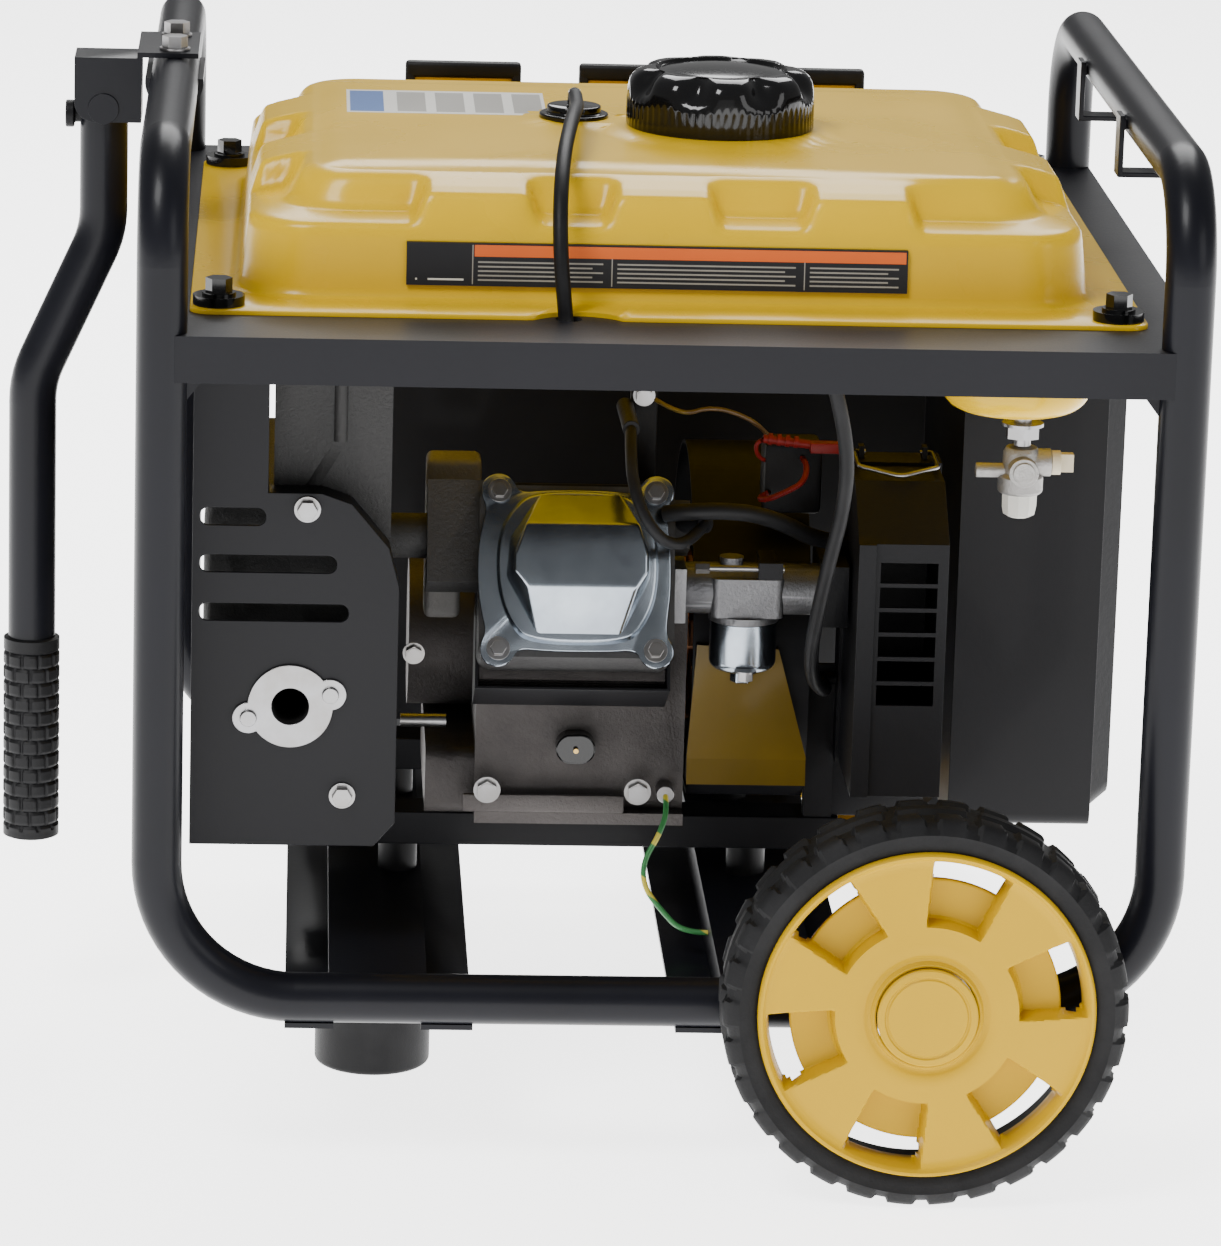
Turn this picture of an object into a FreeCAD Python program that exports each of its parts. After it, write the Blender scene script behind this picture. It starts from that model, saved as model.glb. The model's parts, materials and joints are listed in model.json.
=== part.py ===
import FreeCAD
import Part
import math
import os

# Portable generator: a welded tube cradle that carries a pressed-steel fuel tank on a sheet
# tray, a small slanted single-cylinder engine on rubber mounts, and a control cabinet at the
# right end. It stands on two rubber feet at the left and two wheels at the right, and a
# folding tow handle hangs at the left end. Millimetres; +Z up, -Y is the engine side.
# Places are given from the middle of the frame on the floor, and the whole model is shifted
# along X at the end so that its origin is under the middle of its overall box.

V = FreeCAD.Vector

# ---- driving dimensions ----
tube_radius = 14.0
tube_wall = 2.0
frame_half_length = 281.0          # tube centres, along X
frame_half_width = 280.0           # tube centres, along Y
frame_top = 569.5                  # centre height of the carrying rails
frame_bottom = 97.3                # centre height of the base rails
base_bend = 78.0
top_bend = 55.0
splice_height = 440.0              # where each hoop is butt-welded to the base tubes

tray_top = 477.0
tray_drop = 26.0
tray_sheet = 3.0
tray_half = (294.0, 292.0)
tray_opening = (243.0, 199.0)

tank_flange_half = (267.0, 233.0)
tank_body_half = (240.0, 193.0)
tank_crown_half = (207.0, 163.0)
tank_shoulder = 519.0
tank_crown = 545.0
tank_sheet = 2.0
flange_thickness = 2.5

wheel_radius = 113.2
wheel_centre = (146.0, 113.2)
wheel_inner = 300.0
wheel_outer = 352.0
rim_radius = 94.0
spindle_radius = 6.0

handle_pivot = (-322.0, 0.0, 553.0)
handle_radius = 14.0
grip_radius = 16.8
grip_bottom = 107.0
grip_top = 231.0

crank_axis = (22.7, 231.4)
cylinder_tilt = math.radians(25.0)
cylinder_x = -45.0

cabinet_x = (190.0, 276.5)
cabinet_y = (-10.0, 262.0)
cabinet_z = (123.0, 436.0)
fascia_proud = 13.5
wing_left = -215.0
wing_y = (212.0, 250.0)

hose_diameter = 8.5

origin_shift = (handle_pivot[0] - 41.0 - grip_radius + frame_half_length + tube_radius) / -2.0


# ---- small helpers ----
def block(x0, x1, y0, y1, z0, z1):
    return Part.makeBox(x1 - x0, y1 - y0, z1 - z0, V(x0, y0, z0))


def rod(radius, start, end):
    start, end = V(*start), V(*end)
    return Part.makeCylinder(radius, (end - start).Length, start, end - start)


def fuse(shapes):
    whole = shapes[0]
    for shape in shapes[1:]:
        whole = whole.fuse(shape)
    return whole.removeSplitter()


def soften(shape, radius, choose):
    edges = [edge for edge in shape.Edges if choose(edge)]
    return shape.makeFillet(radius, edges)


def along(axis):
    """Choose straight edges parallel to one axis."""
    def choose(edge):
        if not isinstance(edge.Curve, Part.Line):
            return False
        direction = edge.tangentAt(edge.FirstParameter)
        return abs(abs(direction.dot(axis)) - 1.0) < 1e-6
    return choose


def hexagon(across_flats, base, height, axis=(0, 0, 1)):
    radius = across_flats / math.sqrt(3.0)
    corners = [V(radius * math.cos(math.radians(60 * i)), radius * math.sin(math.radians(60 * i)), 0)
               for i in range(7)]
    prism = Part.Face(Part.makePolygon(corners)).extrude(V(0, 0, height))
    prism.Placement = FreeCAD.Placement(V(*base), FreeCAD.Rotation(V(0, 0, 1), V(*axis)))
    return prism


def flange_bolt(base, axis, across=10.0, head=6.0, flange=7.5, shank=3.0, depth=8.0):
    """A hexagon bolt with a flange, its head on the base point and its shank behind it."""
    direction = V(*axis).normalize()
    foot = V(*base)
    washer = Part.makeCylinder(flange, 1.6, foot, direction)
    top = hexagon(across, foot + direction * 1.6, head - 1.6, direction)
    stem = Part.makeCylinder(shank, depth, foot - direction * depth, direction)
    return fuse([washer, top, stem])


def rounded_rectangle(half_x, half_y, z, radius, centre=(0.0, 0.0)):
    cx, cy = centre
    k = radius * (1.0 - math.sqrt(0.5))
    left, right, front, back = cx - half_x, cx + half_x, cy - half_y, cy + half_y
    edges = []
    corners = [((right - radius, front), (right - k, front + k), (right, front + radius)),
               ((right, back - radius), (right - k, back - k), (right - radius, back)),
               ((left + radius, back), (left + k, back - k), (left, back - radius)),
               ((left, front + radius), (left + k, front + k), (left + radius, front))]
    for i, corner in enumerate(corners):
        first, middle, last = [V(x, y, z) for x, y in corner]
        edges.append(Part.Arc(first, middle, last).toShape())
        onward = corners[(i + 1) % 4][0]
        edges.append(Part.LineSegment(last, V(onward[0], onward[1], z)).toShape())
    return Part.Wire(edges)


def tapered(lower, upper):
    """A solid between two rounded rectangles, each (half_x, half_y, z, radius)."""
    return Part.makeLoft([rounded_rectangle(*lower), rounded_rectangle(*upper)], True, True)


def bent_path(points, radii):
    """Straight runs joined by tangent arcs, one radius for each inner point."""
    points = [V(*point) for point in points]
    edges = []
    start = points[0]
    for i, radius in enumerate(radii, 1):
        here = points[i]
        back = (points[i - 1] - here).normalize()
        onward = (points[i + 1] - here).normalize()
        half_turn = (math.pi - back.getAngle(onward)) / 2.0
        setback = radius * math.tan(half_turn)
        entry = here + back * setback
        leave = here + onward * setback
        middle = here + (back + onward).normalize() * (radius / math.cos(half_turn) - radius)
        if (entry - start).Length > 1e-6:
            edges.append(Part.LineSegment(start, entry).toShape())
        edges.append(Part.Arc(entry, middle, leave).toShape())
        start = leave
    edges.append(Part.LineSegment(start, points[-1]).toShape())
    return Part.Wire(edges)


def sweep(points, radii, radius):
    path = bent_path(points, radii)
    first = path.Edges[0]
    at = first.valueAt(first.FirstParameter)
    normal = first.tangentAt(first.FirstParameter)
    profile = Part.Wire([Part.makeCircle(radius, at, normal)])
    return path.makePipeShell([profile], True, False)


def bent_tube(points, radii, radius, wall):
    return sweep(points, radii, radius).cut(sweep(points, radii, radius - wall))


def cord_tube(name, points, diameter):
    """A free hose or wire: each bend is as large as its two runs allow."""
    places = [V(*point) for point in points]
    radii = []
    for i in range(1, len(places) - 1):
        before = places[i] - places[i - 1]
        after = places[i + 1] - places[i]
        turn = before.getAngle(after)
        radii.append(0.45 * min(before.Length, after.Length) / math.tan(turn / 2.0))
    solid = sweep(points, radii, diameter / 2.0)
    length = bent_path(points, radii).Length
    section = math.pi * diameter ** 2 / 4.0
    print(name, "length", round(length, 1), "radii", [round(r, 1) for r in radii],
          "volume ratio", round(solid.Volume / (section * length), 4))
    return solid


def nipple(radius, route, length, at_end=True):
    """A short spigot that carries on from one end of a route, square to its last run."""
    tip, before = (V(*route[-1]), V(*route[-2])) if at_end else (V(*route[0]), V(*route[1]))
    return rod(radius, tip, tip + (tip - before).normalize() * length)


def mirrored_y(shape):
    return shape.mirror(V(0, 0, 0), V(0, 1, 0))


# ---- hoses and wires ----
vent_route = [(-46.5, 2.0, 563.0), (-46.5, -34.0, 563.0), (-50.5, -80.0, 567.0), (-55.0, -125.0, 565.0),
              (-59.5, -168.0, 558.5), (-62.3, -203.0, 541.0), (-62.2, -219.0, 514.0),
              (-60.0, -225.0, 490.0), (-57.0, -227.5, 462.0)]

air_hose_route = [(90.0, -215.0, 474.0), (90.0, -215.0, 450.0), (98.0, -213.0, 423.0),
                  (104.0, -203.0, 391.0), (102.5, -193.0, 360.0), (97.5, -182.0, 331.0),
                  (93.0, -172.0, 300.0), (90.5, -158.0, 270.0), (94.0, -138.0, 247.0),
                  (104.5, -116.0, 234.0), (104.5, -92.0, 232.0)]

ground_route = [(13.0, -98.0, 166.0), (14.0, -110.0, 160.0), (9.0, -124.0, 149.0), (-1.0, -132.0, 134.0),
                (0.0, -138.0, 120.0), (10.0, -146.0, 109.0), (22.0, -153.0, 98.0), (37.0, -153.0, 98.0)]

breather_route = [(5.0, -147.0, 347.3), (16.0, -153.0, 350.0), (36.0, -153.0, 351.0), (58.0, -147.0, 348.0),
                  (78.0, -134.0, 338.0), (92.0, -117.0, 327.0), (107.0, -106.0, 322.0)]

lead_route = [(-15.0, -128.0, 393.0), (-16.0, -146.0, 386.0), (-15.0, -164.0, 368.0), (-8.0, -174.0, 350.0),
              (4.0, -174.0, 336.0), (18.0, -164.0, 334.0), (28.0, -148.0, 342.0)]


# ---- the cradle ----
def base_tube(side):
    """One long side: two posts and a base rail, bent from one tube."""
    y = side * frame_half_width
    x = frame_half_length
    points = [(-x, y, splice_height), (-x, y, frame_bottom), (x, y, frame_bottom), (x, y, splice_height)]
    tube = bent_tube(points, [base_bend, base_bend], tube_radius, tube_wall)
    notch = rod(spindle_radius + 2.0, (wheel_centre[0], y - 30, wheel_centre[1]),
                (wheel_centre[0], y + 30, wheel_centre[1]))
    return tube.cut(notch)


def hoop(side):
    """One end: a carrying rail with its two short posts."""
    x = side * frame_half_length
    y = frame_half_width
    points = [(x, -y, splice_height), (x, -y, frame_top), (x, y, frame_top), (x, y, splice_height)]
    return bent_tube(points, [top_bend, top_bend], tube_radius, tube_wall)


def post_volumes(clearance=0.0):
    """The four posts as plain rods, for cutting the sheet parts that meet them."""
    return [rod(tube_radius + clearance, (sx * frame_half_length, sy * frame_half_width, 150),
                (sx * frame_half_length, sy * frame_half_width, 520))
            for sx in (-1, 1) for sy in (-1, 1)]


clamp_bolt_y = (-5.0, 46.0)
clamp_plate_top = frame_top + tube_radius + 3.0


def left_hoop():
    shape = hoop(-1)
    for y in clamp_bolt_y:
        x = -frame_half_length
        shape = shape.cut(rod(4.4, (x, y, frame_top - 30), (x, y, frame_top + 30)))
    return shape


def tank_tray():
    half_x, half_y = tray_half
    open_x, open_y = tray_opening
    plate = block(-half_x, half_x, -half_y, half_y, tray_top - tray_drop, tray_top)
    inside = block(tray_sheet - half_x, half_x - tray_sheet, tray_sheet - half_y, half_y - tray_sheet,
                   tray_top - tray_drop - 1, tray_top - tray_sheet)
    opening = block(-open_x, open_x, -open_y, open_y, tray_top - tray_drop - 1, tray_top + 1)
    tray = plate.cut(inside).cut(opening)
    tray = tray.cut(rod(7.5, (vent_hole[0], vent_hole[1], 440), (vent_hole[0], vent_hole[1], 500)))
    for x in (-tank_bolt_place[0], tank_bolt_place[0]):
        for y in (-tank_bolt_place[1], tank_bolt_place[1]):
            tray = tray.cut(rod(4.5, (x, y, 440), (x, y, 500)))
    inner = frame_half_length - tube_radius
    low, under = tray_top - tray_drop, tray_top - tray_sheet
    corners = [(inner + 1, under), (inner + 1, low - 13), (inner - 9, low), (inner - 9, under)]
    wire = Part.makePolygon([V(x, -281.5, z) for x, z in corners + corners[:1]])
    gusset = Part.Face(wire).extrude(V(0, 3, 0))
    gussets = [gusset, gusset.mirror(V(0, 0, 0), V(1, 0, 0))]
    gussets += [mirrored_y(piece) for piece in gussets]
    for piece in gussets:
        tray = tray.fuse(piece)
    for post in post_volumes():
        tray = tray.cut(post)
    return max(tray.Solids, key=lambda solid: solid.Volume).removeSplitter()


crossmember_top = 108.0
crossmember_flange = frame_bottom - tube_radius + 0.5
left_hat = (-208.5, -184.0, -129.0, -103.0)
right_hat = (11.0, 37.0, 92.0, 117.5)


def crossmember(x0, hat0, hat1, x1):
    """A hat-section bar: its flanges run under the base rails, its raised back stops between them."""
    sheet = 3.0
    top, flange = crossmember_top, crossmember_flange
    outline = [(x0, flange), (hat0, flange), (hat0, top), (hat1, top), (hat1, flange), (x1, flange),
               (x1, flange - sheet), (hat1 - sheet, flange - sheet), (hat1 - sheet, top - sheet),
               (hat0 + sheet, top - sheet), (hat0 + sheet, flange - sheet), (x0, flange - sheet)]
    half = frame_half_width + 6.0
    wire = Part.makePolygon([V(x, -half, z) for x, z in outline + outline[:1]])
    bar = Part.Face(wire).extrude(V(0, 2 * half, 0))
    for side in (-1, 1):
        y = side * frame_half_width
        bar = bar.cut(rod(tube_radius, (-300, y, frame_bottom), (300, y, frame_bottom)))
        low, high = sorted((y - side * 2.0, y + side * 20))
        bar = bar.cut(block(-300, 300, low, high, flange + 0.01, 150))
    return max(bar.Solids, key=lambda solid: solid.Volume)


def crossmembers():
    return Part.makeCompound([crossmember(*left_hat), crossmember(*right_hat)])


rail_y = (-60.0, 100.0)
rail_bottom = 126.0
rail_top = 146.0


def engine_rails():
    rails = []
    for y in rail_y:
        outer = block(-205, 118, y - 15, y + 15, rail_bottom, rail_top)
        inner = block(-206, 119, y - 12.5, y + 12.5, rail_bottom - 1, rail_top - 2.5)
        rail = outer.cut(inner)
        rail = rail.fuse(block(-205, 118, y - 12.5, y + 12.5, rail_bottom, rail_bottom + 2.5))
        rails.append(rail.removeSplitter())
    return Part.makeCompound(rails)


def engine_isolators():
    return Part.makeCompound([rod(11.5, (x, y, crossmember_top), (x, y, rail_bottom))
                              for x in (-143.0, 64.5) for y in rail_y])


def support_feet():
    """Two round rubber feet under the left crossmember, each a little wider at the floor."""
    feet = []
    for y in (-97.5, 97.5):
        x = -156.5
        foot = rod(34.0, (x, y, 0), (x, y, crossmember_flange - 3.0))
        bottom = [edge for edge in foot.Edges if edge.BoundBox.ZMax < 0.1 and edge.Length > 50]
        feet.append(foot.makeFillet(3.0, bottom))
    return Part.makeCompound(feet)


def stub_axles():
    """A bracket over each base rail with the spindle that a wheel turns on."""
    x, z = wheel_centre
    pieces = []
    leg = 3.5
    top = z + 22.0
    for side in (-1, 1):
        y_out = frame_half_width + tube_radius
        y_in = frame_half_width - tube_radius
        outer = block(x - 28, x + 28, y_in - leg, y_out + leg, z - 22, top)
        hollow = block(x - 29, x + 29, y_in, y_out, z - 23, top - leg)
        spindle = rod(spindle_radius, (x, y_in - leg - 8, z), (x, wheel_outer - 4, z))
        head = rod(10.0, (x, y_in - leg - 8, z), (x, y_in - leg, z))
        bracket = fuse([outer.cut(hollow), spindle, head])
        pieces.append(bracket if side > 0 else mirrored_y(bracket))
    return Part.makeCompound(pieces)


def rail_hooks():
    """Two flat-bar hooks on the inner side of the right carrying rail."""
    hooks = []
    x = frame_half_length - tube_radius
    for y in (-85.0, 102.0):
        upright = block(x - 4, x - 1, y - 9, y + 9, 541, 574)
        toe = block(x - 4, x + 26, y - 9, y + 9, 538, 541)
        lip = block(x - 1, x + 4, y - 9, y + 9, 566, 572)
        hook = fuse([upright, toe, lip]).cut(rod(tube_radius, (frame_half_length, -200, frame_top),
                                                 (frame_half_length, 200, frame_top)))
        hooks.append(hook)
    return Part.makeCompound(hooks)


# ---- wheels ----
def ring(outer, inner, y0, y1, centre):
    x, z = centre
    shape = rod(outer, (x, y0, z), (x, y1, z))
    return shape.cut(rod(inner, (x, y0 - 1, z), (x, y1 + 1, z)))


def tyre():
    y0, y1 = wheel_inner, wheel_outer - 2.0
    shape = ring(wheel_radius, rim_radius, y0, y1, wheel_centre)
    shoulders = [edge for edge in shape.Edges if abs(edge.Length - 2 * math.pi * wheel_radius) < 1.0]
    return shape.makeFillet(9.0, shoulders)


def rim():
    """A moulded wheel: barrel, dished web with six windows, and a hub bored for the spindle."""
    x, z = wheel_centre
    y0, y1 = wheel_inner + 1.0, wheel_outer
    barrel = ring(rim_radius, rim_radius - 6.0, y0, y1, wheel_centre)
    web = ring(rim_radius - 5.0, 26.0, y1 - 14.0, y1 - 7.0, wheel_centre)
    hub = ring(30.0, spindle_radius + 0.06, y0, y1 - 3.0, wheel_centre)
    for i in range(6):
        turn = math.radians(60 * i + 8.0)
        window = block(58.0, 84.0, y1 - 20, y1, -19.0, 19.0)
        window.rotate(V(0, 0, 0), V(0, 1, 0), math.degrees(turn))
        window.translate(V(x, 0, z))
        web = web.cut(window)
    return fuse([barrel, web, hub])


def hub_cap():
    x, z = wheel_centre
    cap = rod(28.0, (x, wheel_outer - 2.9, z), (x, wheel_outer + 2.0, z))
    outer = [edge for edge in cap.Edges if edge.BoundBox.YMin > wheel_outer + 1.5]
    return cap.makeFillet(1.5, outer)


# ---- folding handle ----
def handle_bracket():
    """A pivot box beside the left carrying rail, with a clamp plate that lies on the rail."""
    px, py, pz = handle_pivot
    left, right = -339.0, -300.0
    sheet = 2.5
    inner = 15.2
    cheek = block(left, right, py - inner - sheet, py - inner, 545, 583)
    cheek = soften(cheek, 12.0, lambda edge: abs(edge.BoundBox.XMax - left) < 0.1
                   and edge.BoundBox.ZMax < 546)
    cheek2 = cheek.copy()
    cheek2.translate(V(0, 2 * inner + sheet, 0))
    roof = block(left, right, py - inner - sheet, py + inner + sheet, 580.5, 583)
    web = block(right - sheet, right, py - inner - sheet, py + inner + sheet, 545, clamp_plate_top)
    plate = block(right - sheet, -267, py - inner - sheet, 60, frame_top + tube_radius, clamp_plate_top)
    bracket = fuse([cheek, cheek2, roof, web, plate])
    for y in clamp_bolt_y:
        bracket = bracket.cut(rod(4.4, (-frame_half_length, y, 570), (-frame_half_length, y, 600)))
    rivet = rod(5.0, (px, -17.7, pz), (px, 17.7, pz))
    heads = [rod(9.0, (px, side * 17.7, pz), (px, side * 18.9, pz)) for side in (-1, 1)]
    return fuse([bracket, rivet] + heads)


def handle_saddle():
    """The lower clamp half: a strap bent round the underside of the rail."""
    x = -frame_half_length
    y0, y1 = handle_pivot[1] - 17, 60.0
    strap = rod(tube_radius + 3.0, (x, y0, frame_top), (x, y1, frame_top))
    strap = strap.cut(rod(tube_radius, (x, y0 - 1, frame_top), (x, y1 + 1, frame_top)))
    strap = strap.cut(block(x - 40, x + 40, y0 - 1, y1 + 1, frame_top + 2, frame_top + 40))
    for y in clamp_bolt_y:
        strap = strap.cut(rod(4.4, (x, y, 540), (x, y, 570)))
    return strap


def handle_clamp_bolts():
    bolts = []
    x = -frame_half_length
    for y in clamp_bolt_y:
        bolt = flange_bolt((x, y, clamp_plate_top), (0, 0, 1), 13.0, 8.5, 9.0, 4.0, 42.0)
        nut = hexagon(13.0, (x, y, clamp_plate_top - 41.0), 6.4)
        bolts.append(fuse([bolt, nut]))
    return Part.makeCompound(bolts)


def handle_tube():
    px, py, pz = handle_pivot
    points = [(px, 0, pz + 12), (px, 0, 478), (px - 41, 0, 388), (px - 41, 0, grip_bottom + 3)]
    arm = bent_tube(points, [60.0, 60.0], handle_radius, tube_wall)
    arm = arm.cut(rod(5.06, (px, -40, pz), (px, 40, pz)))
    button_hole = rod(5.2, (px - 20, 0, lock_height), (px - 8, 0, lock_height))
    return arm.cut(button_hole)


lock_height = 547.0


def handle_lock_button():
    """The spring button that frees the handle from its stop."""
    px = handle_pivot[0]
    stem = rod(5.0, (px - 17.5, 0, lock_height), (px - 8.5, 0, lock_height))
    knob = rod(8.0, (px - 22.5, 0, lock_height), (px - 17.3, 0, lock_height))
    return fuse([stem, knob])


def handle_grip():
    px = handle_pivot[0] - 41
    sleeve = rod(grip_radius, (px, 0, grip_bottom), (px, 0, grip_top))
    bore = rod(handle_radius, (px, 0, grip_bottom + 3), (px, 0, grip_top + 1))
    rims = [edge for edge in sleeve.Edges if edge.BoundBox.ZLength < 0.1]
    return sleeve.makeFillet(2.5, rims).cut(bore)


# ---- fuel tank ----
tank_bolt_place = (251.0, 215.0)
cap_centre = (38.0, -14.0)
cap_radius = 55.5
vent_centre = (-46.5, 12.0)
vent_hole = (-57.0, -228.0)
sump_centre = (203.0, -149.0)
sump_radius = 43.5
sump_bottom = 413.0
tank_floor = 442.0


def tank_flange():
    half_x, half_y = tank_flange_half
    plate = Part.Face(rounded_rectangle(half_x, half_y, tray_top, 12.0)).extrude(V(0, 0, flange_thickness))
    notch = (vent_hole[0] + 5.5, vent_hole[1] - 22.0)
    plate = plate.cut(rod(30.0, (notch[0], notch[1], 470), (notch[0], notch[1], 490)))
    for x in (-tank_bolt_place[0], tank_bolt_place[0]):
        for y in (-tank_bolt_place[1], tank_bolt_place[1]):
            plate = plate.cut(rod(4.5, (x, y, 470), (x, y, 490)))
    return plate


def tank_form(inset):
    """The pressed upper half: upright walls to the shoulder, then sloped to the crown."""
    half_x, half_y = tank_body_half
    top_x, top_y = tank_crown_half
    walls = tapered((half_x - inset, half_y - inset, tray_top, 40.0 - inset),
                    (half_x - 4 - inset, half_y - 4 - inset, tank_shoulder - inset, 40.0 - inset))
    slope = tapered((half_x - 4 - inset, half_y - 4 - inset, tank_shoulder - inset, 40.0 - inset),
                    (top_x - inset, top_y - inset, tank_crown - inset, 34.0 - inset))
    return walls.fuse(slope)


def tank_upper():
    outer = tank_form(0.0).fuse(tank_flange())
    cx, cy = cap_centre
    neck = rod(36.0, (cx, cy, tank_crown - 1.0), (cx, cy, tank_crown + 12.0))
    shell = outer.fuse(neck).cut(tank_form(tank_sheet))
    shell = shell.cut(rod(33.0, (cx, cy, tank_crown - 20), (cx, cy, tank_crown + 20)))
    return shell.removeSplitter()


def tank_lower():
    """The pressed lower half, with a round sump over the fuel valve."""
    half_x, half_y = tank_body_half[0] - 3, tank_body_half[1] - 3
    tub = tapered((half_x - 3, half_y - 3, tank_floor, 34.0), (half_x, half_y, tray_top, 38.0))
    tub_in = tapered((half_x - 5, half_y - 5, tank_floor + tank_sheet, 32.0),
                     (half_x - 2, half_y - 2, tray_top + 0.01, 36.0))
    sump = sump_form(0.0)
    return tub.fuse(sump).cut(tub_in).cut(sump_form(tank_sheet)).removeSplitter()


def sump_form(inset):
    cx, cy = sump_centre
    low = sump_bottom + inset
    form = rod(sump_radius - inset, (cx, cy, low), (cx, cy, tank_floor + 6 * inset / tank_sheet + 1))
    rim = [edge for edge in form.Edges if edge.BoundBox.ZMax < low + 0.1 and edge.Length > 100]
    return form.makeFillet(16.0 - inset, rim)


def fuel_cap():
    """A wide screwed cap: ribbed skirt below, lobed crown above."""
    cx, cy = cap_centre
    low, brim, high = tank_crown + 3.5, 571.0, 585.0
    skirt = rod(cap_radius, (cx, cy, low), (cx, cy, brim))
    crown = Part.makeCone(cap_radius, cap_radius - 9.0, high - brim, V(cx, cy, brim))
    body = skirt.fuse(crown)
    for i in range(8):
        turn = math.radians(45 * i + 20)
        reach = cap_radius + 5.0
        scoop = Part.makeSphere(15.0, V(cx + reach * math.cos(turn), cy + reach * math.sin(turn), high + 1))
        body = body.cut(scoop)
    hollow = rod(36.4, (cx, cy, low - 1), (cx, cy, tank_crown + 13.5))
    return body.cut(hollow)


def tank_bolts():
    """Black flange bolts with their thick rubber washers, at the four corners."""
    sets = []
    seat = tray_top + flange_thickness
    for x in (-tank_bolt_place[0], tank_bolt_place[0]):
        for y in (-tank_bolt_place[1], tank_bolt_place[1]):
            washer = rod(14.5, (x, y, seat), (x, y, seat + 5.5))
            washer = washer.cut(rod(4.0, (x, y, seat - 1), (x, y, seat + 7)))
            bolt = flange_bolt((x, y, seat + 5.5), (0, 0, 1), 13.0, 9.5, 9.5, 4.0, 22.0)
            sets += [washer, bolt]
    return Part.makeCompound(sets)


def tank_vent_cap():
    cx, cy = vent_centre
    base = rod(20.5, (cx, cy, tank_crown), (cx, cy, tank_crown + 6.5))
    top = rod(16.0, (cx, cy, tank_crown + 6.5), (cx, cy, tank_crown + 11.0))
    bend = tank_crown + 18.0
    elbow = sweep([(cx, cy, tank_crown + 10.0), (cx, cy, bend), (cx, cy - 10.0, bend)], [5.0], 4.0)
    return fuse([base, top, elbow])


# ---- fuel valve ----
valve_place = (208.0, -150.0)
valve_lever_height = 382.0


def fuel_valve():
    """A tap screwed into the sump, with a spigot to the left and a sediment bowl below."""
    x, y = valve_place
    nut = hexagon(17.0, (x, y, 396.0), 8.0)
    stem = rod(5.0, (x, y, 392.0), (x, y, sump_bottom))
    body = rod(13.0, (x, y, 364.0), (x, y, 392.0))
    boss = rod(8.5, (x, y - 17.0, 379.0), (x, y, 379.0))
    spigot = rod(4.2, (x - 26.0, y, 377.0), (x, y, 377.0))
    bowl = rod(10.0, (x, y, 350.0), (x, y, 364.0))
    collar = rod(8.0, (x, y, valve_lever_height), (x + 17.0, y, valve_lever_height))
    tap = fuse([nut, stem, body, boss, spigot, bowl, collar])
    return tap.cut(rod(3.06, (x + 5, y, valve_lever_height), (x + 30, y, valve_lever_height)))


def fuel_valve_lever():
    x, y = valve_place
    z = valve_lever_height
    stem = rod(3.0, (x + 8.0, y, z), (x + 20.0, y, z))
    hub = rod(7.0, (x + 17.3, y, z), (x + 22.5, y, z))
    paddle = block(x + 18.0, x + 30.0, y - 3.0, y + 3.0, z - 5.0, z + 5.5)
    return fuse([stem, hub, paddle])


# ---- engine ----
def on_cylinder(along_axis, across, x=0.0):
    """A point on the tilted cylinder: distance from the crank, and height across the axis."""
    y, z = crank_axis
    c, s = math.cos(cylinder_tilt), math.sin(cylinder_tilt)
    return V(cylinder_x + x, y - along_axis * c + across * s, z + along_axis * s + across * c)


def slanted_block(x_half, across_half, from_crank, to_crank, x_offset=0.0, across_offset=0.0):
    """A block square to the cylinder axis."""
    size = (2 * x_half, to_crank - from_crank, 2 * across_half)
    shape = Part.makeBox(*size, V(-x_half + x_offset, -to_crank, -across_half + across_offset))
    shape.rotate(V(0, 0, 0), V(1, 0, 0), -math.degrees(cylinder_tilt))
    shape.translate(V(cylinder_x, crank_axis[0], crank_axis[1]))
    return shape


cylinder_normal = (0.0, -math.cos(cylinder_tilt), math.sin(cylinder_tilt))


def engine_block():
    """Crankcase and finned barrel in one casting, hollow for the crank and bored for the piston."""
    case = block(-99, 24, -86, 122, rail_top, 292)
    case = soften(case, 14.0, along(V(1, 0, 0)))
    barrel = slanted_block(46.0, 46.0, 60.0, 150.0)
    shape = case.fuse(barrel)
    for i in range(7):
        fin = slanted_block(54.0, 54.0, 92.0 + 8.0 * i, 95.0 + 8.0 * i)
        shape = shape.fuse(fin)
    shape = shape.fuse(block(-99, 24, -96, 130, rail_top, rail_top + 7))
    shape = shape.fuse(rod(44.0, (-138, crank_axis[0], crank_axis[1]), (-98, crank_axis[0], crank_axis[1])))
    side_cover = soften(block(-128, -98, -80, 60, rail_top, 186), 8.0, along(V(1, 0, 0)))
    shape = shape.fuse(side_cover)
    hollow = rod(56.0, (-88, crank_axis[0], crank_axis[1]), (13, crank_axis[0], crank_axis[1]))
    bore = Part.makeCylinder(34.0, 160.0, on_cylinder(0, 0), V(*cylinder_normal))
    shaft = rod(12.55, (-130, crank_axis[0], crank_axis[1]), (60, crank_axis[0], crank_axis[1]))
    return shape.cut(hollow).cut(bore).cut(shaft).removeSplitter()


def cylinder_head():
    head = slanted_block(56.0, 50.0, 150.2, 196.0)
    head = soften(head, 8.0, lambda edge: along(V(*cylinder_normal))(edge))
    port = slanted_block(16.0, 30.0, 158.0, 190.0, -70.0, 24.0)
    plug_boss = slanted_block(5.0, 14.0, 165.0, 190.0, 60.0, 30.0)
    chamber = Part.makeCylinder(34.0, 12.0, on_cylinder(150, 0), V(*cylinder_normal))
    return head.fuse(port).fuse(plug_boss).cut(chamber).removeSplitter()


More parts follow.
